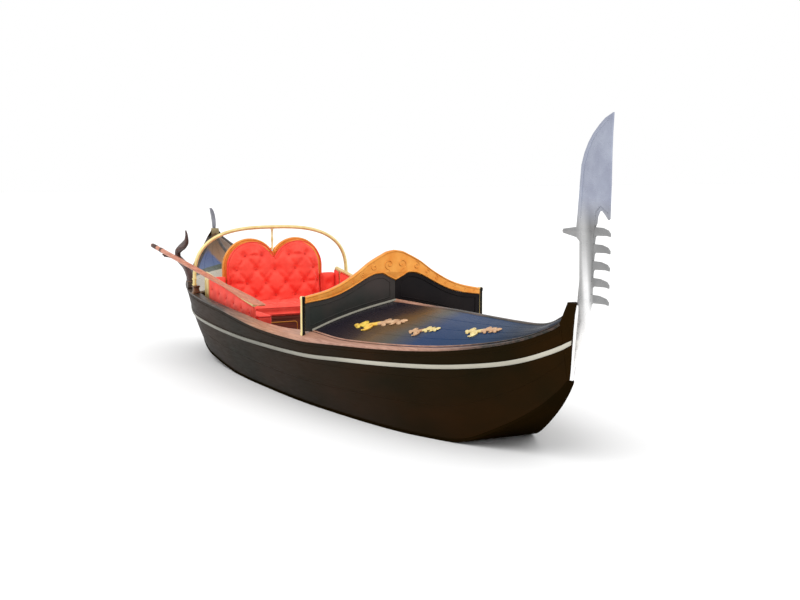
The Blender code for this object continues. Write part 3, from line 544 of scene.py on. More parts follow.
# Starboard half of the cross board: the dark lacquer painted lighter, a painted sheen of the light on that side.
PANEL_SHEEN = lacquer("panel_lacquer_painted_sheen", (0.027, 0.031, 0.028), (0.062, 0.046, 0.043), (0.30, 0.42), 0.07, 0.02, 0.05)
CREAM, IRON, OAR_WOOD = cream_paint(), iron_paint(), oar_paint()
DECK_PAINT, AFT_DECK_PAINT = deck_paint(), after_deck_paint()
RAIL = rail_paint("rail_wood", (0.40, 0.0), (0.54, 1.0), (0.86, 1.0), (0.95, 0.0))
RIDGE = rail_paint("ridge_wood", (0.40, 0.0), (0.54, 1.0), (0.72, 1.0), (0.79, 0.0))
GILT = metal("gilding", (0.73, 0.245, 0.028), (0.84, 0.370, 0.070), (0.30, 0.52), 0.55, 60, 0.3)
BRIGHT_GOLD = metal("bright_gold", (0.84, 0.42, 0.075), (0.88, 0.66, 0.10), (0.28, 0.50), 0.5, 30, 0.3)
# Pinkish gold for halves of the deck ornaments: a painted pinkish highlight on the gilt.
PINK_HIGHLIGHT_GOLD = metal("gold_painted_pink_highlight", (0.52, 0.29, 0.150), (0.70, 0.46, 0.27), (0.30, 0.50), 0.5, 40, 0.25)
PALE_GOLD = metal("pale_gold", (0.72, 0.55, 0.22), (0.86, 0.72, 0.34), (0.28, 0.48), 0.5, 60, 0.25)
BRASS = metal("gilt_brass", (0.66, 0.47, 0.13), (0.86, 0.68, 0.27), (0.20, 0.40), 0.8, 70)
OLD_BRASS = metal("old_brass", (0.26, 0.20, 0.10), (0.48, 0.40, 0.24), (0.34, 0.52), 0.6, 50)
BRONZE = metal("bronze", (0.090, 0.045, 0.028), (0.20, 0.11, 0.06), (0.30, 0.52), 0.8, 45)
IRON_EDGE = metal("iron_edge", (0.90, 0.89, 0.88), (0.97, 0.96, 0.95), (0.30, 0.42), 0.35, 30)
DARK_IRON = metal("dark_iron", (0.10, 0.10, 0.12), (0.26, 0.26, 0.30), (0.26, 0.46), 0.85, 30)
CORAL = cloth("coral_cloth", (0.88, 0.062, 0.042), (1.0, 0.108, 0.072))
CORAL_DEEP = cloth("coral_piping", (0.70, 0.040, 0.030), (0.86, 0.070, 0.048))
RED_TONES, DARK_TONES = ((0.090, 0.018, 0.012), (0.24, 0.055, 0.030)), ((0.018, 0.010, 0.006), (0.062, 0.034, 0.020))
HULL_INSIDE = wood("inside_wood", (0.030, 0.014, 0.008), (0.070, 0.034, 0.018))
RED_WOOD = wood("red_wood", *RED_TONES, coat=0.1)
RED_BOARD = wood("red_board", *RED_TONES, stretch=(3.0, 0.22, 3.0), coat=0.1)
DARK_WOOD = wood("dark_wood", *DARK_TONES)
DARK_BOARD = wood("dark_board", *DARK_TONES, stretch=(3.0, 3.0, 0.22))
CRUTCH_WOOD = wood("walnut", (0.022, 0.008, 0.006), (0.085, 0.032, 0.022), coat=0.15, scale=20)
LEATHER = wood("leather", (0.045, 0.016, 0.010), (0.10, 0.040, 0.024), (0.6, 0.45), 0.3, (1, 1, 1), 0.0, 60)


# Hull
def grooved(count, seams, gap, offsets, reach):
    """Even shares from 0 to 1 with extra ones at each seam, and which of them lie in a seam."""
    shares = span(0.0, 1.0, count)
    for seam in seams:
        shares = [v for v in shares if abs(v - seam) > gap] + [seam + d for d in offsets]
    shares.sort()
    return [(v, any(abs(v - seam) < reach for seam in seams)) for v in shares]


def build_planking(name, sign):
    """One side of the hull: three planks with fine open seams, dark lacquer outside, wood inside."""
    levels = grooved(30, (0.38, 0.70), 0.014, (-0.006, -0.003, 0.0, 0.003, 0.006), 0.0031)

    def section(s):
        outer = [(y - SEAM_DEPTH * deep, z) for (y, z), deep in ((side(s, v), deep) for v, deep in levels)]
        return outer + [(y - PLANK, z) for y, z in (side(s, v / 8) for v in range(8, -1, -1))]

    item = loft(along(STERN_END, BOW_END, PITCH, section, sign), HULL, 25)
    repaint(item, HULL_INSIDE, lambda normal: normal.y * sign < -0.2)
    nodes = ["side_planking_%s_%s" % (name, length) for length in ("aft", "middle", "fore")]
    settle("side_" + name, item, "hull_lacquer", *nodes)


def build_bottom():
    def section(s):
        half, low, top = s["chine"] + 0.003, s["bottom"], s["bottom"] + BOTTOM_PLANK
        return rounded([(half, low), (half, top), (-half, top), (-half, low)], 0.004)

    settle("bottom", loft(along(STERN_END, BOW_END, 0.05, section), BOTTOM), "hull_lacquer",
           "hull_bottom", "hull_bottom_aft", "hull_bottom_fore")


def build_rub_strip(name, sign):
    """Half-round cream strip round the side, carried along the stem to its edge."""
    profile = rounded([(-0.003, -STRIP / 2), (0.009, -STRIP / 2), (0.012, 0.0), (0.009, STRIP / 2),
                       (-0.003, STRIP / 2)], 0.009, 3)
    rings = []
    for x, share in [(x, 0.0) for x in spread(STERN_END + 0.002, BOW_END, PITCH)] + [
            (BOW_END, share) for share in (0.35, 0.7, 0.93)]:
        s = at(x)
        ring = []
        for out, up in profile:
            y, z = side_at(s, s["strip"] + up)
            ring.append((x + share * (post_edge(STEM, z) - BOW_END + 0.5 * out),
                         sign * (y + share * (POST_HALF - y) + out), z + 0.030 * share))
        rings.append(ring)
    settle("rub_strip_piece_" + name, loft(rings, CREAM), "cream_paint", "rub_strip_" + name)


def build_rail(name, sign):
    """Rail, and the fine moulding along the side a little under it."""
    def section(s):
        outer, inner = rail_edges(s)
        return rounded([(outer[0], s["sheer"]), outer, inner, (inner[0], s["sheer"])], 0.007)

    def bead(s):
        y, z = side_at(s, s["sheer"] - 0.030)
        return [(y + 0.004 * c, z + 0.006 * up) for c, up in circle(8)]

    settle("rail_" + name, loft(along(STERN_END, BOW_END, PITCH, section, sign), RAIL), "rail_wood",
           "gunwale_rail_%s_aft" % name, "gunwale_rail_%s_fore" % name)
    settle("side_bead_" + name, loft(along(STERN_END + 0.02, BOW_END - 0.005, 0.06, bead, sign), HULL),
           "hull_lacquer")


def build_deck(name, start, end, paint):
    """Pitched deck of narrow planks with open seams, a ridge cap and a bead along each edge."""
    shares = grooved(20, (0.28, 0.55, 0.80), 0.02, (-0.006, -0.002, 0.002, 0.006), 0.003)

    def section(s):
        half, edge = deck_half(s), s["sheer"] + s["rise"]
        row = [(v * half, edge + (s["ridge"] - edge) * CAMBER(v) - DECK_SEAM_DEPTH * deep) for v, deep in shares]
        over = [(-y, z) for y, z in row[:0:-1]] + row
        return over + [(y, z - DECK) for y, z in over[::-1]]

    def cap(s):
        wide = min(0.020, 0.25 * deck_half(s))
        return [(wide * c, s["ridge"] - 0.006 + 0.011 * up) for c, up in circle(10)]

    def bead(s):
        y = deck_half(s) - 0.008
        return [(y + 0.007 * c, deck_z(s, y) + 0.006 * up) for c, up in circle(8)]

    settle(name + "_planks", loft(along(start, end, PITCH, section), paint, 20), "hull_lacquer",
           name + "_port", name + "_starboard")
    settle(name + "_ridge_cap", loft(along(start + 0.03, end - 0.002, 0.05, cap), RIDGE), "rail_wood")
    for side_name, sign in SIDES:
        settle("%s_edge_%s" % (name, side_name), loft(along(start + 0.004, end - 0.012, 0.05, bead, sign), RAIL),
               "rail_wood")


def build_post(name, end, profile):
    s = at(end)
    breadth, flare = rail_edges(s)[0]
    low, head = side(s, 0.0)[1], profile[-1][0]
    smooth = smooth_curve(profile)
    rings = []
    for z in span(low, head, 26):
        if z <= s["sheer"]:
            y = side_at(s, z)[0]
        else:
            y = breadth + (0.030 - breadth) * max(0.0, z - flare) / max(0.001, head - flare)
        edge = smooth(z) if z >= profile[0][0] else post_edge(profile, z)
        front = min(y, POST_HALF)
        rings.append([(px, py, z) for px, py in
                      rounded([(end, y), (edge, front), (edge, -front), (end, -y)], 0.005)])
    settle(name, loft(rings, HULL), "hull_lacquer", name + "_post")


def build_inside():
    """Walkway of six pegged boards, and half-round beads over the seams of the fore bulkhead."""
    low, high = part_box("floorboards")
    boards = []
    edges = span(low[1], high[1], 6)
    for y0, y1 in zip(edges, edges[1:]):
        ring = box_ring(y0 + 0.002, low[2], y1 - 0.002, high[2], 0.003)
        boards.append(loft([[(x, y, z) for y, z in ring] for x in (low[0], low[0] + 0.3, high[0] - 0.3, high[0])],
                           DARK_WOOD))
        for x in (low[0] + 0.04, high[0] - 0.04):
            boards.append(stud(0.006, 0.006, 0.0012, 0.0016, BRASS, (x, (y0 + y1) / 2, high[2] - 0.0008), sides=10))
    settle("walkway", boards, "dark_wood", "floorboards")
    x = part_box("fore_bulkhead")[0][0]
    s = at(x)
    settle("bulkhead_beads", [tube([(x + 0.001, y, z) for z in span(FLOOR_TOP + 0.002, deck_z(s, y) - DECK - 0.004, 6)],
                                   THIN, DARK_BOARD) for y in (0.12 * k for k in range(-4, 5))], "dark_wood")


build_bottom()
for side_name, side_sign in SIDES:
    build_planking(side_name, side_sign)
    build_rub_strip(side_name, side_sign)
    build_rail(side_name, side_sign)
build_deck("foredeck", FOREDECK_X, BOW_END, DECK_PAINT)
build_deck("after_deck", STERN_END, AFTER_DECK_X, AFT_DECK_PAINT)
build_post("stem", BOW_END, STEM)
build_post("stern", STERN_END, STERN)
build_inside()
for carried, paint in [("rib_%d" % k, HULL_INSIDE) for k in range(1, 6)] + [
        ("fore_bulkhead", DARK_BOARD), ("aft_bulkhead", DARK_BOARD), ("floor_margin", DARK_WOOD)]:
    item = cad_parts[carried]
    item.data.materials.clear()
    item.data.materials.append(paint)

# Cross board
BOARD_X, BOARD_HALF, CREST_HALF, BOARD_END, POST_TOP = 0.88, 0.013, 0.019, 0.720, 0.826
CREST_LOW = smooth_curve(((0.0, .911), (.06, .940), (.11, .965), (.16, .962), (.21, .946), (.30, .900),
                          (.38, .858), (.46, .824), (.56, .797), (.72, .775)))
CREST_TOP = smooth_curve(((0.0, 1.136), (.06, 1.126), (.11, 1.103), (.16, 1.078), (.21, 1.050), (.30, .985),
                          (.38, .936), (.46, .894), (.56, .858), (.72, .823)))
# Scrolls of the crest: distance from the middle, reach.
CREST_SCROLLS = ((0.052, 0.040), (0.175, 0.028), (0.265, 0.021), (0.345, 0.016), (0.420, 0.013), (0.500, 0.011),
                 (0.590, 0.010), (0.670, 0.009))


def mirrored(outline):
    return outline + [(-y, z) for y, z in outline[-2:0:-1]]


def scroll(put, turns, reach, radius, paint, flip=1, tail=0.6, sides=8, squash=1.0):
    """Generic spiral that opens into a tail; put turns its flat points into places."""
    points = []
    for i in range(int(22 * turns) + 1):
        a = 2 * math.pi * i / 22
        r = reach * (0.18 + 0.82 * i / (22 * turns))
        points.append((r * math.cos(a), flip * r * math.sin(a)))
    last = Vector(points[-1])
    step = (last - Vector(points[-2])).normalized() * reach * tail / 8
    for k in range(1, 9):
        last = last + Matrix.Rotation(-flip * 0.13 * k, 2) @ step
        points.append(tuple(last))
    radii = [radius * (0.55 + 0.45 * math.sin(math.pi * min(1.0, 0.15 + i / len(points))))
             for i in range(len(points))]
    return tube([put(a, u) for a, u in points], radii, paint, sides, squash=squash)


def build_crest():
    outline = mirrored([(y, CREST_LOW(y)) for y in span(0, BOARD_END, 40)]
                       + [(y, CREST_TOP(y)) for y in span(BOARD_END, 0, 40)])
    pieces = [plate(outline, CREST_HALF, "YZ", BOARD_X, GILT, 0.006, 3)]
    for face in (BOARD_X + CREST_HALF, BOARD_X - CREST_HALF):
        for curve, shift in ((CREST_TOP, -0.009), (CREST_LOW, 0.008)):
            line = [(y, curve(abs(y)) + shift) for y in span(-BOARD_END + 0.01, BOARD_END - 0.01, 90)]
            pieces.append(bead_at(face, line, 0.0052, GILT))
        for sign in (-1, 1):
            for i, (y, size) in enumerate(CREST_SCROLLS):
                middle = (CREST_LOW(y) + CREST_TOP(y)) / 2
                pieces.append(scroll(lambda a, u: (face, sign * (y + a), middle + u), 1.25, size,
                                     0.0046 * (size / 0.03) ** 0.5, GILT, 1 if i % 2 else -1))
    settle("crest_board", pieces, "gilding", "board_crest")


def build_panel(name, sign):
    """Half of the board under the crest with its framed panel, and the gilt post at its end."""
    s = at(BOARD_X)
    foot = [(y, deck_z(s, y) + 0.001 if y < deck_half(s) else s["sheer"] + s["rise"] + 0.001)
            for y in span(0.0008, BOARD_END, 30)]
    top = [(y, CREST_LOW(y) - 0.0005) for y in span(BOARD_END, 0.0008, 40)]
    # Starboard half in the lighter paint, a painted sheen; port half in the plain dark lacquer.
    paint = PANEL_SHEEN if sign < 0 else PANEL
    panel = [plate([(sign * y, z) for y, z in foot + top], BOARD_HALF, "YZ", BOARD_X, paint, 0.002)]
    places = span(0.045, BOARD_END - 0.035, 40)
    deck = [deck_z(s, min(y, deck_half(s))) for y in places]
    line = [(y, z + 0.042) for y, z in zip(places, deck)]
    line += [(y, CREST_LOW(y) - min(0.030, 0.28 * (CREST_LOW(y) - z))) for y, z in zip(places[::-1], deck[::-1])]
    for face in (BOARD_X + BOARD_HALF, BOARD_X - BOARD_HALF):
        panel.append(bead_at(face, [(sign * y, z) for y, z in line], THIN, paint, closed=True))
    settle("panel_" + name, panel, "panel_lacquer", "board_panel_" + name)
    low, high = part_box("board_post_" + name)
    middle = ((low[0] + high[0]) / 2, (low[1] + high[1]) / 2)
    rings = [[(middle[0] + (x - middle[0]) * grow, middle[1] + (y - middle[1]) * grow, z)
              for x, y in box_ring(low[0], low[1], high[0], high[1], 0.006)]
             for z, grow in ((low[2], 1.0), (low[2] + 0.018, 1.0), (low[2] + 0.024, 0.84), (POST_TOP - 0.03, 0.84),
                             (POST_TOP - 0.024, 1.0), (POST_TOP - 0.008, 1.04), (POST_TOP, 0.8))]
    post = repaint(loft(rings, PALE_GOLD), PANEL, lambda normal: abs(normal.x) > 0.8)
    settle("end_post_" + name, post, "gilding", "board_post_" + name)


def build_moulding():
    """Moulding along the board's foot, cream to starboard and brown to port."""
    (x0, _, _), (x1, reach, _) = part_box("board_moulding")
    halves = []
    for paint, sign in ((CREAM, -1), (RAIL, 1)):
        rings = []
        for y in span(0.0, reach, 40):
            base = max(deck_z(at(x0), y), deck_z(at(x1), y)) + 0.0012
            ring = rounded([(x0, base), (x1 + 0.001, base), (x1 + 0.001, base + 0.008), (x0 + 0.006, base + 0.015),
                            (x0, base + 0.015)], 0.003, 2)
            rings.append([(x, sign * y, z) for x, z in ring])
        halves.append(loft(rings, paint))
    settle("foot_moulding", halves, "cream_paint", "board_moulding")


def deck_ornament(name, x, y, length, turn, sign, aft_paint, fore_paint):
    """Gilt ornament on the foredeck: a tapering stalk with volutes and buds, and leaves along it."""
    c, s = math.cos(turn), math.sin(turn)
    size = (length / 0.46) ** 0.6

    def put(a, u, lift=0.0):
        px, py = x + a * c + u * s, sign * (y - a * s + u * c)
        return px, py, deck_z(at(px), py) + 0.003 + lift

    def stalk(t):
        return 0.016 * size * math.sin((t + 0.5) * 2 * math.pi)

    def shade(t):
        return aft_paint if t < 0.0 else fore_paint

    parts = []
    for start, end in ((-0.5, 0.02), (-0.02, 0.5)):
        places = span(start, end, 24)
        radii = [size * (0.005 + 0.013 * math.sin(math.pi * (min(0.499, max(-0.499, t)) + 0.5)) ** 0.7)
                 for t in places]
        parts.append(tube([put(t * length, stalk(t), 0.003) for t in places], radii, shade(end - 0.03), 10,
                          squash=0.7))
    for t, up, grow in ((-0.34, -1, 1.0), (-0.14, 1, 1.25), (0.09, -1, 0.95), (0.28, 1, 0.7)):
        reach = 0.030 * size * grow
        across, rise = t * length, stalk(t) + up * reach
        parts.append(scroll(lambda a, u: put(across + a, rise + u, 0.002), 1.35, reach, 0.0115 * size * grow,
                            shade(t), up, 0.35, 10, 0.75))
        bud = 0.014 * size * grow
        parts.append(turned([(0.0, -0.003), (bud * 0.9, -0.001), (bud, 0.004), (bud * 0.7, 0.010), (0.0, 0.012)],
                            shade(t), put(across, rise), sides=14))
    for t, up in ((-0.52, 0.3), (-0.47, 1), (-0.43, -0.8), (-0.24, 1), (-0.06, -1), (0.04, 1), (0.18, -1), (0.32, 1),
                  (0.36, -0.6)):
        leaf = [put((t + 0.035 * j) * length, stalk(t) + up * size * (0.006 + 0.0075 * j), 0.002) for j in range(5)]
        parts.append(tube(leaf, [size * r for r in (0.005, 0.014, 0.0165, 0.013, 0.005)], shade(t), 10, squash=0.6))
    settle("deck_ornament_" + name, parts, "gilding")


# Ornaments: x, y, length, turn, paint of the after half and of the fore half.
# The pinkish gold halves carry a painted highlight.
ORNAMENTS = ((1.41, 0.385, 0.46, 0.37, BRIGHT_GOLD, PINK_HIGHLIGHT_GOLD), (1.95, 0.330, 0.25, 0.37, PINK_HIGHLIGHT_GOLD, PALE_GOLD),
             (2.47, 0.195, 0.29, 0.25, PALE_GOLD, PINK_HIGHLIGHT_GOLD))
build_crest()
for side_name, side_sign in SIDES:
    build_panel(side_name, side_sign)
build_moulding()
for side_name, side_sign in SIDES:
    for k, (x, y, length, turn, *paints) in enumerate(ORNAMENTS):
        deck_ornament("%s_%d" % (side_name, k + 1), x, y, length, turn, side_sign, *paints)

# Seats
SIM_FRAMES = 20
LOBE_Y, LOBE_Z, LOBE_RADIUS, BORDER = 0.220, 0.835, 0.238, 0.020
HOOP_X = -1.560
FRAME_FRONT = HOOP_X + 0.0123
PAD_AFT_TOP, PAD_FORE_TOP = 0.772, 0.620
TRIM_AFT, TRIM_FORE, TRIM_AFT_TOP, TRIM_FORE_TOP = 0.785, 0.620, 0.803, 0.638
BUTTON, PIPING = 0.011, 0.005  # radii
BACK_BUTTONS = [(sign * y, z) for y, z in ((0.130, 0.945), (0.290, 0.945), (0.095, 0.695), (0.275, 0.695),
                                           (0.420, 0.700)) for sign in (-1, 1)]
for middle_z, outer_z in ((0.815, 0.820), (0.580, 0.580)):
    BACK_BUTTONS += [(0.0, middle_z)] + [(sign * y, outer_z) for y in (0.190, 0.370) for sign in (-1, 1)]


def swollen(rings, cap, pinned, voxel=0.008):
    """Closed pad, swollen with Blender's cloth, held where pinned; cap is how far it may move."""
    item = loft(rings, CORAL, split=True)
    remesh = item.modifiers.new("remesh", "REMESH")
    remesh.mode = "VOXEL"
    remesh.voxel_size = voxel
    dense = fixed_mesh(item, remesh)
    dense.materials.clear()
    dense.materials.append(CORAL)
    start = [v.co.copy() for v in dense.vertices]
    group = item.vertex_groups.new(name="pin")
    group.add([v.index for v in dense.vertices if pinned(v.co)], 1.0, "REPLACE")
    sim = item.modifiers.new("cloth", "CLOTH")
    for key, value in dict(vertex_group_mass="pin", use_pressure=True, uniform_pressure_force=4.0, quality=5,
                           tension_stiffness=12, compression_stiffness=12, bending_stiffness=0.4).items():
        setattr(sim.settings, key, value)
    sim.settings.effector_weights.gravity = 0.0
    sim.point_cache.frame_start = 1
    sim.point_cache.frame_end = SIM_FRAMES
    for step in range(1, SIM_FRAMES + 1):
        bpy.context.scene.frame_set(step)
    fixed_mesh(item, sim)
    bpy.context.scene.frame_set(1)
    for v, was in zip(item.data.vertices, start):
        move = v.co - was
        if move.length > cap:
            v.co = was + move * (cap / move.length)
    return item


def dimple_field(buttons, depth, wide, fold):
    """How far a point of the padded face sinks: at a button, and along folds between neighbours."""
    pairs = [(Vector(a), Vector(b), math.dist(a, b)) for i, a in enumerate(buttons) for b in buttons[i + 1:]
             if math.dist(a, b) < fold]

    def sink(p):
        total = max(depth * math.exp(-((p.x - u) ** 2 + (p.y - w) ** 2) / (2 * wide * wide)) for u, w in buttons)
        for a, b, gap in pairs:
            off = (p - (a + (b - a) * clamp((p - a).dot(b - a) / (gap * gap)))).length
            total = max(total, depth * 0.48 * math.exp(-off * off / (2 * (wide * 0.42) ** 2)))
        return total

    return sink


def across(co, axis):
    """The two coordinates square to an axis."""
    return Vector([c for k, c in enumerate(co) if k != axis])


def press(pad, axis, share, buttons, depth, wide, fold=0.0, least=-9.0):
    """Press the dimples in along an axis, where share says; then smooth the pad and subdivide it once."""
    sink = dimple_field(buttons, depth, wide, fold)
    for v in pad.data.vertices:
        v.co[axis] = max(least, v.co[axis] - share(v.co[axis]) * sink(across(v.co, axis)))
    body = bmesh.new()
    body.from_mesh(pad.data)
    for _ in range(2):
        bmesh.ops.smooth_vert(body, verts=body.verts, factor=0.5, use_axis_x=True, use_axis_y=True, use_axis_z=True)
    body.to_mesh(pad.data)
    body.free()
    finer = pad.modifiers.new("subdivide", "SUBSURF")
    finer.levels = finer.render_levels = 1
    fixed_mesh(pad, finer).shade_smooth()


def button(pad, axis, spot, sign, radius, reach, default):
    """Button on a pad's outermost surface round a spot; the default stands in where there is none."""
    near = [v.co[axis] for v in pad.data.vertices if (across(v.co, axis) - Vector(spot)).length_squared < reach ** 2]
    centre = list(spot)
    centre.insert(axis, (max if sign > 0 else min)(near, default=default) + 0.001 * sign)
    return button_at(centre, [sign if k == axis else 0 for k in range(3)], radius)


def button_at(centre, normal, radius):
    return turned([(0.0, -0.004), (radius * 0.8, -0.004), (radius, 0.0), (radius * 0.86, radius * 0.42),
                   (radius * 0.45, radius * 0.62), (0.0, radius * 0.68)], CORAL_DEEP, centre, normal, 16)


def lobe_outline(grow, low):
    radius = LOBE_RADIUS + grow
    return ([(0.0, low), (LOBE_Y + radius, low)] + [(LOBE_Y + radius, z) for z in span(low, LOBE_Z, 6)[1:-1]]
            + [(LOBE_Y + radius * math.cos(a), LOBE_Z + radius * math.sin(a))
               for a in span(0.0, math.acos(-LOBE_Y / radius), 22)])


def heart(grow, low, inset=0.0):
    """Whole outline of the seat back, closed, drawn in by a distance."""
    centre = Vector((0.20, 0.76))
    half = []
    for y, z in lobe_outline(grow, low):
        if abs(y) < 1e-6:
            half.append((0.0, z + (inset if z < 0.7 else -inset * 1.6)))
        else:
            drawn = Vector((y, z)) + (centre - Vector((y, z))).normalized() * inset
            half.append((max(0.0, drawn.x), drawn.y))
    return mirrored(half)


def build_seat_back():
    low, back, front = 0.457, FRAME_FRONT + 0.001, FRAME_FRONT + 0.078
    rings = [[(x, y, z) for y, z in heart(0.0, low, inset)]
             for x, inset in ((back, 0.012), (front - 0.022, 0.012), (front, 0.034))]
    pad = swollen(rings, 0.024, lambda p: p.x < back + 0.012 or p.z < low + 0.02)
    press(pad, 0, lambda x: clamp((x - back - 0.03) / 0.035), BACK_BUTTONS, 0.040, 0.026, 0.175, back)
    trims = [button(pad, 0, spot, 1, BUTTON, 0.008, front - 0.03) for spot in BACK_BUTTONS]
    trims.append(bead_at(front - 0.014, heart(0.0, low, 0.010), PIPING, CORAL_DEEP, closed=True))
    settle("seat_back_pad", pad, "coral_cloth", "back_cushion_port", "back_cushion_starboard", fill=0.75)
    settle("seat_back_buttons", trims, "coral_cloth")


def build_seat_frame():
    """Gilt heart-shaped frame: a bead round both faces of the back board, scrolls and studs."""
    frame_plate = plate(heart(BORDER, FLOOR_TOP + REST_GAP), 0.012, "YZ", HOOP_X, GILT, 0.004, 3)
    pieces = [repaint(frame_plate, RED_BOARD, lambda normal: normal.x < -0.99)]
    top = lobe_outline(BORDER - 0.010, 0.45)[1:]
    for face in (HOOP_X + 0.011, HOOP_X - 0.011):
        pieces.append(bead_at(face, top + [(-y, z) for y, z in top[-2::-1]], 0.0075, GILT, 10))
    cleft = LOBE_Z + math.sqrt((LOBE_RADIUS + BORDER) ** 2 - LOBE_Y ** 2)
    for sign in (-1, 1):
        pieces.append(scroll(lambda a, u: (HOOP_X + 0.013, sign * (0.035 + a), cleft - 0.005 + u), 1.3, 0.030, 0.0065,
                             GILT, tail=0.8))
        for a in (math.radians(20 + 16 * i) for i in range(9)):
            centre = (HOOP_X - 0.012, sign * (LOBE_Y + 0.225 * math.cos(a)), LOBE_Z + 0.225 * math.sin(a))
            pieces.append(stud(0.006, 0.005, 0.003, 0.005, BRASS, centre, (-1, 0, 0)))
    settle("back_frame", pieces, "gilding", "seat_back_frame")


def boxed_pad(low, high, buttons, cap, depth, wide, fold):
    """Box cushion with a crowned, buttoned top; returns it and its buttons."""
    middle = Vector(((low[0] + high[0]) / 2, (low[1] + high[1]) / 2))
    offs = [Vector(p) - middle for p in box_ring(low[0] + 0.008, low[1] + 0.008, high[0] - 0.008, high[1] - 0.008,
                                                 0.030, 4)]
    rings = [[(*(middle + off * (1.0 - shrink / max(0.03, off.length))), z) for off in offs]
             for z, shrink in ((low[2], 0.012), (low[2] + 0.02, 0.0), (high[2] - 0.040, 0.0), (high[2] - 0.022, 0.010))]
    pad = swollen(rings, cap, lambda p: p.z < low[2] + 0.012)
    press(pad, 2, lambda z: clamp((z - high[2] + 0.06) / 0.04), buttons, depth, wide, fold, low[2] + 0.001)
    return pad, [button(pad, 2, spot, 1, BUTTON, 0.010, high[2] - 0.03) for spot in buttons]


def edge_piping(low, high, z):
    ring = box_ring(low[0] + 0.010, low[1] + 0.010, high[0] - 0.010, high[1] - 0.010, 0.035, 6)
    line = []
    for a, b in zip(ring, ring[1:] + ring[:1]):
        steps = max(1, int(math.dist(a, b) / 0.03))
        line += [(a[0] + (b[0] - a[0]) * k / steps, a[1] + (b[1] - a[1]) * k / steps, z) for k in range(steps)]
    return tube(line, PIPING, CORAL_DEEP, closed=True)


def mirror_copy(item):
    """The same piece on the other side of the boat."""
    mesh = item.data.copy()
    mesh.transform(Matrix.Diagonal((1, -1, 1, 1)))
    mesh.flip_normals()
    return place("part", mesh)


def settle_pads(pad, pad_name, trims, trims_name, node, fill):
    """Settle a port pad with its trims, and mirror copies of both to starboard."""
    trims = joined("part", trims)
    for item, extra, name in ((pad, trims, "port"), (mirror_copy(pad), mirror_copy(trims), "starboard")):
        settle(pad_name + name, item, "coral_cloth", node + name, fill=fill)
        settle(trims_name + name, extra, "coral_cloth")


def build_seat_cushion():
    low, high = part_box("seat_cushion")
    rows = [(-1.36 + 0.165 * i, 0.19 * j + (0.095 if i % 2 else 0.0)) for i in range(3) for j in range(-2, 3)]
    pad, studs = boxed_pad(low, high, [(x, y) for x, y in rows if abs(y) < 0.40], 0.020, 0.030, 0.024, 0.20)
    settle("seat_cushion_pad", pad, "coral_cloth", "seat_cushion", fill=0.75)
    settle("seat_cushion_buttons", studs + [edge_piping(low, high, high[2] - 0.030),
                                            edge_piping(low, high, low[2] + 0.018)], "coral_cloth")


def build_bench_pads():
    low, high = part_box("bench_cushion_port")
    buttons = [(low[0] + 0.12 + 0.19 * i, (low[1] + high[1]) / 2) for i in range(6)]
    pad, studs = boxed_pad(low, high, buttons, 0.018, 0.024, 0.020, 0.0)
    settle_pads(pad, "bench_pad_", studs + [edge_piping(low, high, high[2] - 0.028)], "bench_buttons_",
                "bench_cushion_", 0.7)


def build_wing_pads():
    low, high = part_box("wing_pad_port")
    rings = [[(x, y, z) for y, z in box_ring(low[1] + shrink - 0.002, low[2] + 0.001, high[1] - shrink,
                                             high[2] - shrink - 0.01, 0.02, 4)]
             for x, shrink in ((low[0] + 0.001, 0.004), (low[0] + 0.008, 0.0), (high[0] - 0.020, 0.0),
                               (high[0] - 0.010, 0.012))]
    pad = swollen(rings, 0.014, lambda p: p.x < low[0] + 0.006 or p.z < low[2] + 0.010, 0.006)
    spot = ((low[1] + high[1]) / 2, (low[2] + high[2]) / 2)
    press(pad, 0, lambda x: clamp((x - high[0] + 0.03) / 0.02), [spot], 0.022, 0.020)
    stud = button_at((high[0] - 0.028, *spot), (1, 0, 0), 0.010)
    settle_pads(pad, "wing_pad_piece_", [stud], "wing_button_", "wing_pad_", 0.75)


def build_side_pads():
    """Pads along the sides, lower forward, swollen and buttoned on both faces."""
    low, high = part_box("side_pad_port")
    seam = (low[1] + high[1]) / 2
    rings = []
    for y, shrink in ((high[1] - 0.010, 0.010), (high[1] - 0.018, 0.0), (low[1] + 0.016, 0.0), (low[1] + 0.006, 0.010)):
        x0, x1, z0 = low[0] + 0.004 + shrink, high[0] - 0.004 - shrink, low[2] + 0.002 + shrink
        ring = [(x0, z0), (x1, z0), (x1, PAD_FORE_TOP - shrink - 0.004), (x0, PAD_AFT_TOP - shrink - 0.004)]
        rings.append([(x, y, z) for x, z in rounded(ring, 0.02, 4)])
    pad = swollen(rings, 0.012, lambda p: abs(p.y - seam) < 0.006 or p.z < low[2] + 0.012, 0.007)
    buttons = [(low[0] + 0.10 + 0.18 * i, 0.675 - 0.022 * i) for i in range(6)]
    press(pad, 1, lambda y: 0.7 * clamp((y - seam) / 0.012) - clamp((seam - y) / 0.012), buttons, 0.020, 0.022)
    studs = [button(pad, 1, spot, sign, 0.010, 0.010, default) for spot in buttons
             for sign, default in ((-1, low[1] + 0.02), (1, high[1] - 0.02))]
    settle_pads(pad, "side_pad_piece_", studs, "side_pad_buttons_", "side_pad_", 0.7)


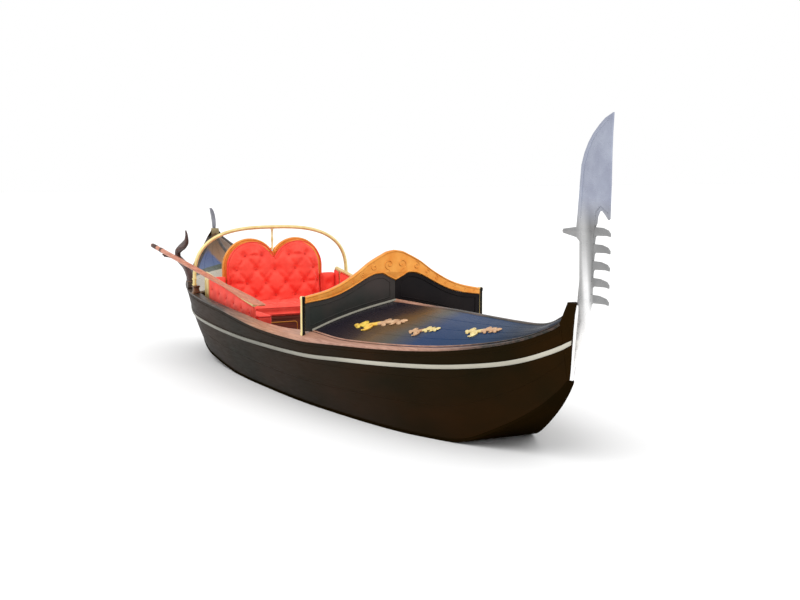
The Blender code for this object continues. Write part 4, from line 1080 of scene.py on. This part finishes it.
def build_seat_base():
    """Red varnished front of the seat: two framed panels with gilt beads, on a plinth."""
    low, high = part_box("seat_base")
    rings = [[(x + grow * (1 if x > -1.2 else -1), y + math.copysign(grow, y), z)
              for x, y in box_ring(low[0], low[1], high[0], high[1], 0.006)]
             for z, grow in ((low[2], 0.0), (low[2] + 0.03, 0.0), (low[2] + 0.034, -0.006), (high[2] - 0.026, -0.006),
                             (high[2] - 0.020, 0.0), (high[2], 0.0))]
    pieces = [loft(rings, RED_BOARD)]
    for y0, y1 in ((-0.40, -0.02), (0.02, 0.40)):
        rect = box_ring(y0, low[2] + 0.06, y1, high[2] - 0.05, 0.03, 6)
        pieces.append(bead_at(high[0] - 0.006, rect, THIN, GILT, closed=True))
    settle("seat_front", pieces, "red_wood", "seat_base")


def build_side_trim(name, sign):
    """Pale gilt rail over a side pad, with a moulded post at its after end."""
    low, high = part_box("side_trim_" + name)
    middle, half = (low[1] + high[1]) / 2, (high[1] - low[1]) / 2
    aft, post, fore, floor = low[0], low[0] + 0.095, high[0], low[2]
    slope = (TRIM_FORE - TRIM_AFT) / (fore - aft)
    outline = [(aft, floor), (post, floor), (post, TRIM_AFT + slope * 0.095), (fore, TRIM_FORE + REST_GAP),
               (fore, TRIM_FORE_TOP), (aft, TRIM_AFT_TOP)]
    roll = [(x, middle, TRIM_AFT_TOP + slope * (x - aft)) for x in span(aft + 0.004, fore - 0.004, 30)]
    cover = rounded([(aft + 0.004, floor + 0.006), (post + 0.004, floor + 0.006), (post + 0.004, 0.764),
                     (aft + 0.004, 0.780)], 0.015, 5)
    panel = rounded([(aft + 0.018, floor + 0.03), (post - 0.018, floor + 0.03), (post - 0.018, 0.735),
                     (aft + 0.018, 0.745)], 0.02, 5)
    settle("pad_rail_" + name, [
        plate(outline, half, "XZ", middle, PALE_GOLD, 0.004, 3),
        tube(roll, 0.010, PALE_GOLD, 10, squash=0.8),
        plate(cover, 0.0034, "XZ", middle - sign * (half + 0.0036), CORAL, 0.003),
        tube([(x, middle - sign * (half + 0.004), z) for x, z in cover], 0.0036, CORAL_DEEP, closed=True),
        tube([(x, middle + sign * half, z) for x, z in panel], 0.004, PALE_GOLD, closed=True),
        turned([(0.0, 0.0), (0.010, 0.0), (0.014, 0.008), (0.010, 0.018), (0.0, 0.022)], GILT,
               (fore - 0.012, middle, 0.632), sides=16)], "gilding", "side_trim_" + name)


def build_bench(name, sign):
    """Bench board and its front with a gilt bead."""
    low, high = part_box("bench_" + name)
    inner, outer = (low[1], high[1]) if sign > 0 else (high[1], low[1])
    ring = rounded([(inner, low[2]), (inner + sign * 0.020, low[2]), (inner + sign * 0.020, high[2] - 0.020),
                    (outer, high[2] - 0.020), (outer, high[2]), (inner, high[2])], 0.004, 2)
    rect = box_ring(low[0] + 0.66, low[2] + 0.05, high[0] - 0.04, high[2] - 0.05, 0.03, 6)
    settle("bench_board_" + name, [
        loft([[(x, y, z) for y, z in ring] for x in span(low[0], high[0], 8)], RED_WOOD),
        tube([(x, inner, z) for x, z in rect], THIN, GILT, closed=True)], "red_wood", "bench_" + name)


build_seat_frame()
build_seat_base()
for side_name, side_sign in SIDES:
    build_side_trim(side_name, side_sign)
    build_bench(side_name, side_sign)
build_seat_back()
build_seat_cushion()
build_bench_pads()
build_wing_pads()
build_side_pads()


# Hoop
def build_hoop():
    half, base, spring, top, power = 0.735, 0.690, 0.720, 1.190, 2.8
    points = [(HOOP_X, -half, base)]
    for a in span(0.0, math.pi, 96):
        wide = math.copysign(abs(math.cos(a)) ** (2 / power), math.cos(a))
        points.append((HOOP_X, -half * wide, spring + (top - spring) * abs(math.sin(a)) ** (2 / power)))
    points.append((HOOP_X, half, base))
    even = [Vector(points[0])]
    for p in points[1:]:
        if (Vector(p) - even[-1]).length > 0.012:
            even.append(Vector(p))
    even.append(Vector(points[-1]))
    pieces = [tube(even, 0.016, PALE_GOLD, 16)]
    for sign in (-1, 1):
        for z in (base + 0.004, base + 0.052):
            pieces.append(turned([(0.012, 0.0), (0.021, 0.002), (0.022, 0.007), (0.021, 0.012), (0.012, 0.014)],
                                 PALE_GOLD, (HOOP_X, sign * half, z), sides=20))
    settle("seat_hoop", pieces, "gilt_brass", "hoop")
    low, high = (corner[2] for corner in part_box("hoop_strut"))
    middle = (low + high) / 2
    rod = [(0.0, low), (0.014, low + 0.001), (0.014, low + 0.010), (0.0085, low + 0.016), (0.0075, middle - 0.03),
           (0.012, middle), (0.0075, middle + 0.03), (0.0085, high - 0.016), (0.013, high - 0.008),
           (0.013, high - 0.001), (0.0, high)]
    settle("strut", turned(rod, PALE_GOLD, (HOOP_X, 0.0, 0.0)), "gilt_brass", "hoop_strut")
    (outer, outer_z), (inner, inner_z) = rail_edges(at(HOOP_X))
    middle, outer, inner = (outer + inner) / 2, outer - 0.004, inner + 0.004
    for name, sign in SIDES:
        rings = []
        for share, grow in ((0.0, 1.0), (0.18, 1.0), (0.26, 0.80), (0.72, 0.74), (0.84, 0.95), (1.0, 0.90)):
            y0, y1 = (middle + (y - middle) * grow for y in (outer, inner))
            z0, z1 = (z + 0.0008 + (base - 0.0005 - z) * share for z in (outer_z, inner_z))
            x0, x1 = HOOP_X - 0.028 * grow, HOOP_X + 0.028 * grow
            flat = rounded([(x0, sign * y0), (x0, sign * y1), (x1, sign * y1), (x1, sign * y0)], 0.008)
            rings.append([(x, y, z0 + (z1 - z0) * (abs(y) - y0) / (y1 - y0)) for x, y in flat])
        settle("hoop_foot_" + name, loft(rings, BRONZE), "bronze", "hoop_socket_" + name)


# Irons
IRON_HALF, IRON_EDGE_RADIUS, LINE_Y = 0.006, 0.0022, 0.0055
TOOTH_COUNT, TOOTH_TOP, TOOTH_PITCH = 5, 1.418, 0.096
BOW_BACK = ((3.2310, 1.108), (3.2260, 1.330), (3.195, 1.352), (3.060, 1.371), (3.053, 1.384), (3.063, 1.396),
            (3.193, 1.412), (3.202, 1.480), (3.218, 1.623), (3.234, 1.765), (3.262, 1.835), (3.300, 1.895),
            (3.345, 1.945), (3.400, 1.990), (3.454, 2.026), (3.526, 2.054))
BOW_FRONT = ((3.518, 1.950), (3.514, 1.848), (3.512, 1.629), (3.507, 1.470), (3.498, 1.462), (3.470, 1.488),
             (3.438, 1.512), (3.412, 1.508), (3.392, 1.478), (3.386, 1.440))
BOW_FOOT = ((3.335, 0.935), (3.316, 0.885), (3.289, 0.796), (3.248, 0.716), (3.218, 0.660), (3.194, 0.600))
BOW_SPINE = ((3.236, 0.985), (3.246, 1.10), (3.243, 1.30), (3.235, 1.43), (3.232, 1.50), (3.246, 1.63),
             (3.262, 1.76), (3.300, 1.85), (3.350, 1.92), (3.410, 1.97), (3.490, 2.02))
BOW_LINE = ((3.300, 0.90), (3.345, 1.02), (3.352, 1.20), (3.366, 1.42), (3.380, 1.50), (3.420, 1.535), (3.495, 1.500))
STERN_OUTLINE = ((-3.124, 1.1003), (-3.108, 1.140), (-3.112, 1.190), (-3.135, 1.240), (-3.175, 1.280),
                 (-3.222, 1.303), (-3.272, 1.306), (-3.252, 1.262), (-3.226, 1.215), (-3.206, 1.165),
                 (-3.196, 1.125), (-3.186, 1.1003))
STERN_LINE = ((-3.152, 1.11), (-3.158, 1.18), (-3.182, 1.24), (-3.230, 1.285))


def build_bow_iron():
    """Toothed blade with raised lines, and the strap that holds it on the stem."""
    stem = [(post_edge(STEM, z) + 0.0008, z) for z in span(0.512, 0.973, 16)]
    teeth = []
    for i in range(TOOTH_COUNT):
        top, root, tip = TOOTH_TOP - i * TOOTH_PITCH, 3.372 - 0.006 * i, 3.514 - 0.002 * i
        teeth += [(root, top), (root + 0.070, top), (tip - 0.022, top - 0.012), (tip, top - 0.030),
                  (tip, top - 0.048), (tip - 0.030, top - 0.044), (root + 0.012, top - 0.048), (root, top - 0.058)]
    outline = [*stem, *BOW_BACK, *BOW_FRONT, *teeth, *BOW_FOOT, (stem[0][0] + 0.010, stem[0][1])]
    pieces = [plate(outline, IRON_HALF, "XZ", 0.0, IRON, IRON_EDGE_RADIUS)]
    rings = []
    for z in span(0.514, 0.960, 24):
        x = post_edge(STEM, z)
        near, far = x + 0.0008, x + 0.010 + 0.012 * (z - 0.514) / 0.45
        half = 0.0145 - 0.006 * max(0.0, z - 0.90) / 0.06
        ring = rounded([(near, half), (far, half * 0.55), (far, -half * 0.55), (near, -half)], 0.003, 2)
        rings.append([(px, py, z) for px, py in ring])
    pieces.append(loft(rings, IRON_EDGE))
    for sign in (-1, 1):
        pieces.append(tube([(x, sign * LINE_Y, z) for x, z in BOW_SPINE], 0.0042, IRON, squash=0.7))
        pieces.append(tube([(x, sign * LINE_Y, z) for x, z in BOW_LINE], 0.0036, IRON))
        for z in (0.60, 0.72, 0.86):
            pieces.append(stud(0.004, 0.003, 0.0022, 0.003, IRON_EDGE,
                               (post_edge(STEM, z) + 0.012, sign * 0.0105, z), (0.4, sign, 0), 10))
    settle("bow_blade", pieces, "pale_iron", "bow_iron")


def build_stern_iron():
    """Curved blade on the stern post, and the brass cap under it."""
    settle("stern_blade", [plate(STERN_OUTLINE, IRON_HALF, "XZ", 0.0, DARK_IRON, IRON_EDGE_RADIUS)]
           + [tube([(x, sign * LINE_Y, z) for x, z in STERN_LINE], 0.0038, DARK_IRON) for sign in (-1, 1)],
           "pale_iron", "stern_iron")
    rings = []
    for z, grow in ((1.040, 0.002), (1.044, 0.005), (1.090, 0.006), (1.100, 0.006), (1.104, 0.002)):
        x0, x1 = -3.120 + grow, post_edge(STERN, min(z, 1.1)) - grow
        y0, y1 = 0.034 + grow, POST_HALF + grow
        rings.append([(x, y, z) for x, y in rounded([(x0, y0), (x1, y1), (x1, -y1), (x0, -y0)], 0.006)])
    settle("stern_cap", loft(rings, OLD_BRASS), "gilt_brass")


# Oar and crutch
OAR_Y, OAR_AFT, OAR_SLOPE, OAR_LENGTH, OAR_RADIUS = -0.800, (-2.627, 0.988), 0.1012, 2.88, 0.021
CRUTCH_X, CRUTCH_Y, SOCKET_X, SOCKET_Y, SOCKET_TOP = -2.235, -0.700, -1.870, -0.6775, 0.700
OAR_TILT = math.atan(OAR_SLOPE)
# Oar: share of its length, half breadth, half depth.
OAR_TABLE = ((0.0, 0.010, 0.010), (0.004, 0.017, 0.017), (0.012, 0.019, 0.019), (0.05, 0.0195, 0.0195),
             (0.10, OAR_RADIUS, OAR_RADIUS), (0.60, OAR_RADIUS, OAR_RADIUS), (0.66, 0.022, 0.018),
             (0.72, 0.028, 0.013), (0.78, 0.042, 0.010), (0.84, 0.049, 0.0085), (0.90, 0.052, 0.008),
             (0.96, 0.051, 0.0072), (0.985, 0.047, 0.0068), (0.996, 0.040, 0.006), (1.0, 0.030, 0.005))
# Leg of the crutch: x, y, z, half breadth, half thickness.
CRUTCH_PATH = ((SOCKET_X, SOCKET_Y, SOCKET_TOP + REST_GAP, 0.055, 0.024), (SOCKET_X, SOCKET_Y, 0.735, 0.050, 0.026),
               (-1.905, -0.682, 0.790, 0.042, 0.026), (-1.985, -0.684, 0.838, 0.036, 0.026),
               (-2.085, -0.690, 0.872, 0.033, 0.026), (-2.150, -0.697, 0.905, 0.031, 0.025),
               (-2.143, CRUTCH_Y, 0.948, 0.031, 0.025), (-2.060, CRUTCH_Y, 0.988, 0.033, 0.024),
               (-1.950, CRUTCH_Y, 1.025, 0.036, 0.022), (-1.880, CRUTCH_Y, 1.064, 0.032, 0.018),
               (-1.874, CRUTCH_Y, 1.108, 0.022, 0.012), (-1.895, CRUTCH_Y, 1.158, 0.008, 0.006))


def build_oar():
    wide, deep = (smooth_curve([(row[0], row[k]) for row in OAR_TABLE]) for k in (1, 2))

    def ring_at(share, grow=0.0):
        run = share * OAR_LENGTH / math.hypot(1.0, OAR_SLOPE)
        x, z = OAR_AFT[0] + run, OAR_AFT[1] - OAR_SLOPE * run
        flat = clamp((share - 0.64) / 0.10)
        ring = []
        for c, s in circle(24):
            y = (wide(share) + grow) * math.copysign(abs(c) ** (1 - 0.25 * flat), c)
            up = (deep(share) + grow) * math.copysign(abs(s) ** (1 + 0.15 * flat), s)
            ring.append((x + up * math.sin(OAR_TILT), OAR_Y + y, z + up * math.cos(OAR_TILT)))
        return ring

    shares = sorted({row[0] for row in OAR_TABLE} | set(span(0, 1, 90)))
    settle("oar_shaft", loft([ring_at(v) for v in shares], OAR_WOOD, 60), "oar_wood", "oar", body="oar")
    collar = ((0.100, -0.0005), (0.101, 0.0015), (0.118, 0.0018))
    grip = ((0.010, -0.0002), (0.012, 0.0014), (0.060, 0.0014), (0.062, -0.0002))
    settle("oar_leathers", [loft([ring_at(*pair) for pair in pairs], LEATHER) for pairs in (collar, grip)],
           "walnut", body="oar")


def build_crutch():
    """Carved leg, its lip and the leather seat that the oar lies on."""
    tilt_x, tilt_z = math.sin(OAR_TILT), math.cos(OAR_TILT)
    lip_x = CRUTCH_X - (OAR_RADIUS + REST_GAP) * tilt_x
    lip_top = OAR_AFT[1] - OAR_SLOPE * (CRUTCH_X - OAR_AFT[0]) - (OAR_RADIUS + REST_GAP) * tilt_z
    smooth = [smooth_curve([(i, row[k]) for i, row in enumerate(CRUTCH_PATH)]) for k in range(5)]
    last = len(CRUTCH_PATH) - 1
    rings = []
    for t in span(0, last, 66):
        x, y, z, breadth, thick = (curve(t) for curve in smooth)
        t0, t1 = max(0, t - 0.2), min(last, t + 0.2)
        dx, dz = smooth[0](t1) - smooth[0](t0), smooth[2](t1) - smooth[2](t0)
        run = math.hypot(dx, dz)
        ring = []
        for c, s in circle(24):
            off = breadth * math.copysign(abs(c) ** 0.85, c)
            ring.append((x + off * dz / run, y + thick * math.copysign(abs(s) ** 0.85, s), z - off * dx / run))
        rings.append(ring)
    lip = [(-2.128, CRUTCH_Y, 0.893), (-2.16, -0.725, 0.897), (lip_x + 0.03, -0.765, lip_top - 0.018),
           (lip_x, OAR_Y, lip_top - 0.014)]
    seat = [(0.0, -0.014), (0.014, -0.013), (0.018, -0.009), (0.018, -0.001), (0.016, 0.0), (0.0, 0.0)]
    settle("carved_crutch", [loft(rings, CRUTCH_WOOD, 60),
                             tube(lip, [0.017, 0.015, 0.0135, 0.012], CRUTCH_WOOD, 16),
                             turned(seat, LEATHER, (lip_x, OAR_Y, lip_top), (tilt_x, 0, tilt_z))],
           "walnut", "crutch")


def build_crutch_block():
    """Socket block on the starboard rail with a bronze collar and two studs."""
    rings = []
    for share, grow in ((0.0, 1.0), (0.25, 1.0), (0.36, 0.90), (0.88, 0.86), (1.0, 0.80)):
        ring = []
        for x in (-0.075, 0.075):
            outer, inner = rail_edges(at(SOCKET_X + x))
            middle = (outer[0] + inner[0]) / 2
            for y, z in ((outer[0] - 0.004, outer[1]), (inner[0] + 0.004, inner[1])):
                ring.append((SOCKET_X + x * grow, middle + (y - middle) * grow, z))
        base = sum(p[2] for p in ring) / 4
        flat = rounded([ring[k][:2] for k in (0, 1, 3, 2)], 0.012)
        rings.append([(x, -y, base - 0.004 + (SOCKET_TOP - base + 0.004) * share) for x, y in flat])
    collar = [[(SOCKET_X + r * c, SOCKET_Y + (r - 0.029) * s, SOCKET_TOP - 0.004 + h) for c, s in circle(32)]
              for r, h in ((0.048, -0.002), (0.058, 0.0), (0.060, 0.004), (0.057, 0.008), (0.050, 0.009))]
    studs = [stud(0.007, 0.006, 0.003, 0.004, BRONZE, (SOCKET_X + x, -0.690, at(SOCKET_X)["sheer"] + 0.024))
             for x in (-0.062, 0.062)]
    settle("crutch_block", [loft(rings, DARK_WOOD), loft(collar, BRONZE)] + studs, "dark_wood", "crutch_socket")


build_hoop()
build_bow_iron()
build_stern_iron()
build_oar()
build_crutch()
build_crutch_block()


# Floor, light and camera
def build_stage():
    body = bmesh.new()
    for corner in ((-60, -60), (60, -60), (60, 60), (-60, 60)):
        body.verts.new((*corner, -0.0005))
    body.faces.new(body.verts)
    p = Paint("studio_floor", Roughness=0.9, Specular_IOR_Level=0.1)
    p.feed(p.shader.inputs["Base Color"], p.fade(p.noise(0.8, 2.0), 0.3, 0.7, 0.93, 0.95))
    floor = finish_mesh(body, p.material, smooth=False)
    floor.name = "floor"
    world = bpy.data.worlds.new("studio")
    bpy.context.scene.world = world
    world.use_nodes = True
    back = world.node_tree.nodes["Background"]
    back.inputs[0].default_value = (1.0, 1.0, 1.0, 1.0)
    back.inputs[1].default_value = 1.0
    for name, spot, power, width in (("key", (3.0, -6.0, 9.0), 0.9, 50), ("fill", (8.0, 5.0, 7.0), 0.4, 70)):
        light = bpy.data.lights.new(name, "SUN")
        light.energy, light.angle = power, math.radians(width)
        lamp = place(name, light)
        lamp.location = spot
        lamp.rotation_euler = (Vector((0.0, 0.0, 0.6)) - Vector(spot)).to_track_quat("-Z", "Y").to_euler()
    bpy.context.scene.view_settings.view_transform = "Standard"


def build_camera():
    """Camera as solved from the photograph."""
    turn, dip = 0.475, 0.109
    ahead = Vector((-math.cos(turn) * math.cos(dip), math.sin(turn) * math.cos(dip), -math.sin(dip)))
    right = ahead.cross(Vector((0, 0, 1))).normalized()
    data = bpy.data.cameras.new("camera")
    data.lens, data.sensor_width = 57.9, 36.0
    camera = place("camera", data)
    camera.matrix_world = Matrix((right, right.cross(ahead), -ahead)).transposed().to_4x4()
    camera.location = (9.307, -4.288, 1.798)
    bpy.context.scene.camera = camera


build_stage()
build_camera()
bpy.context.view_layer.update()
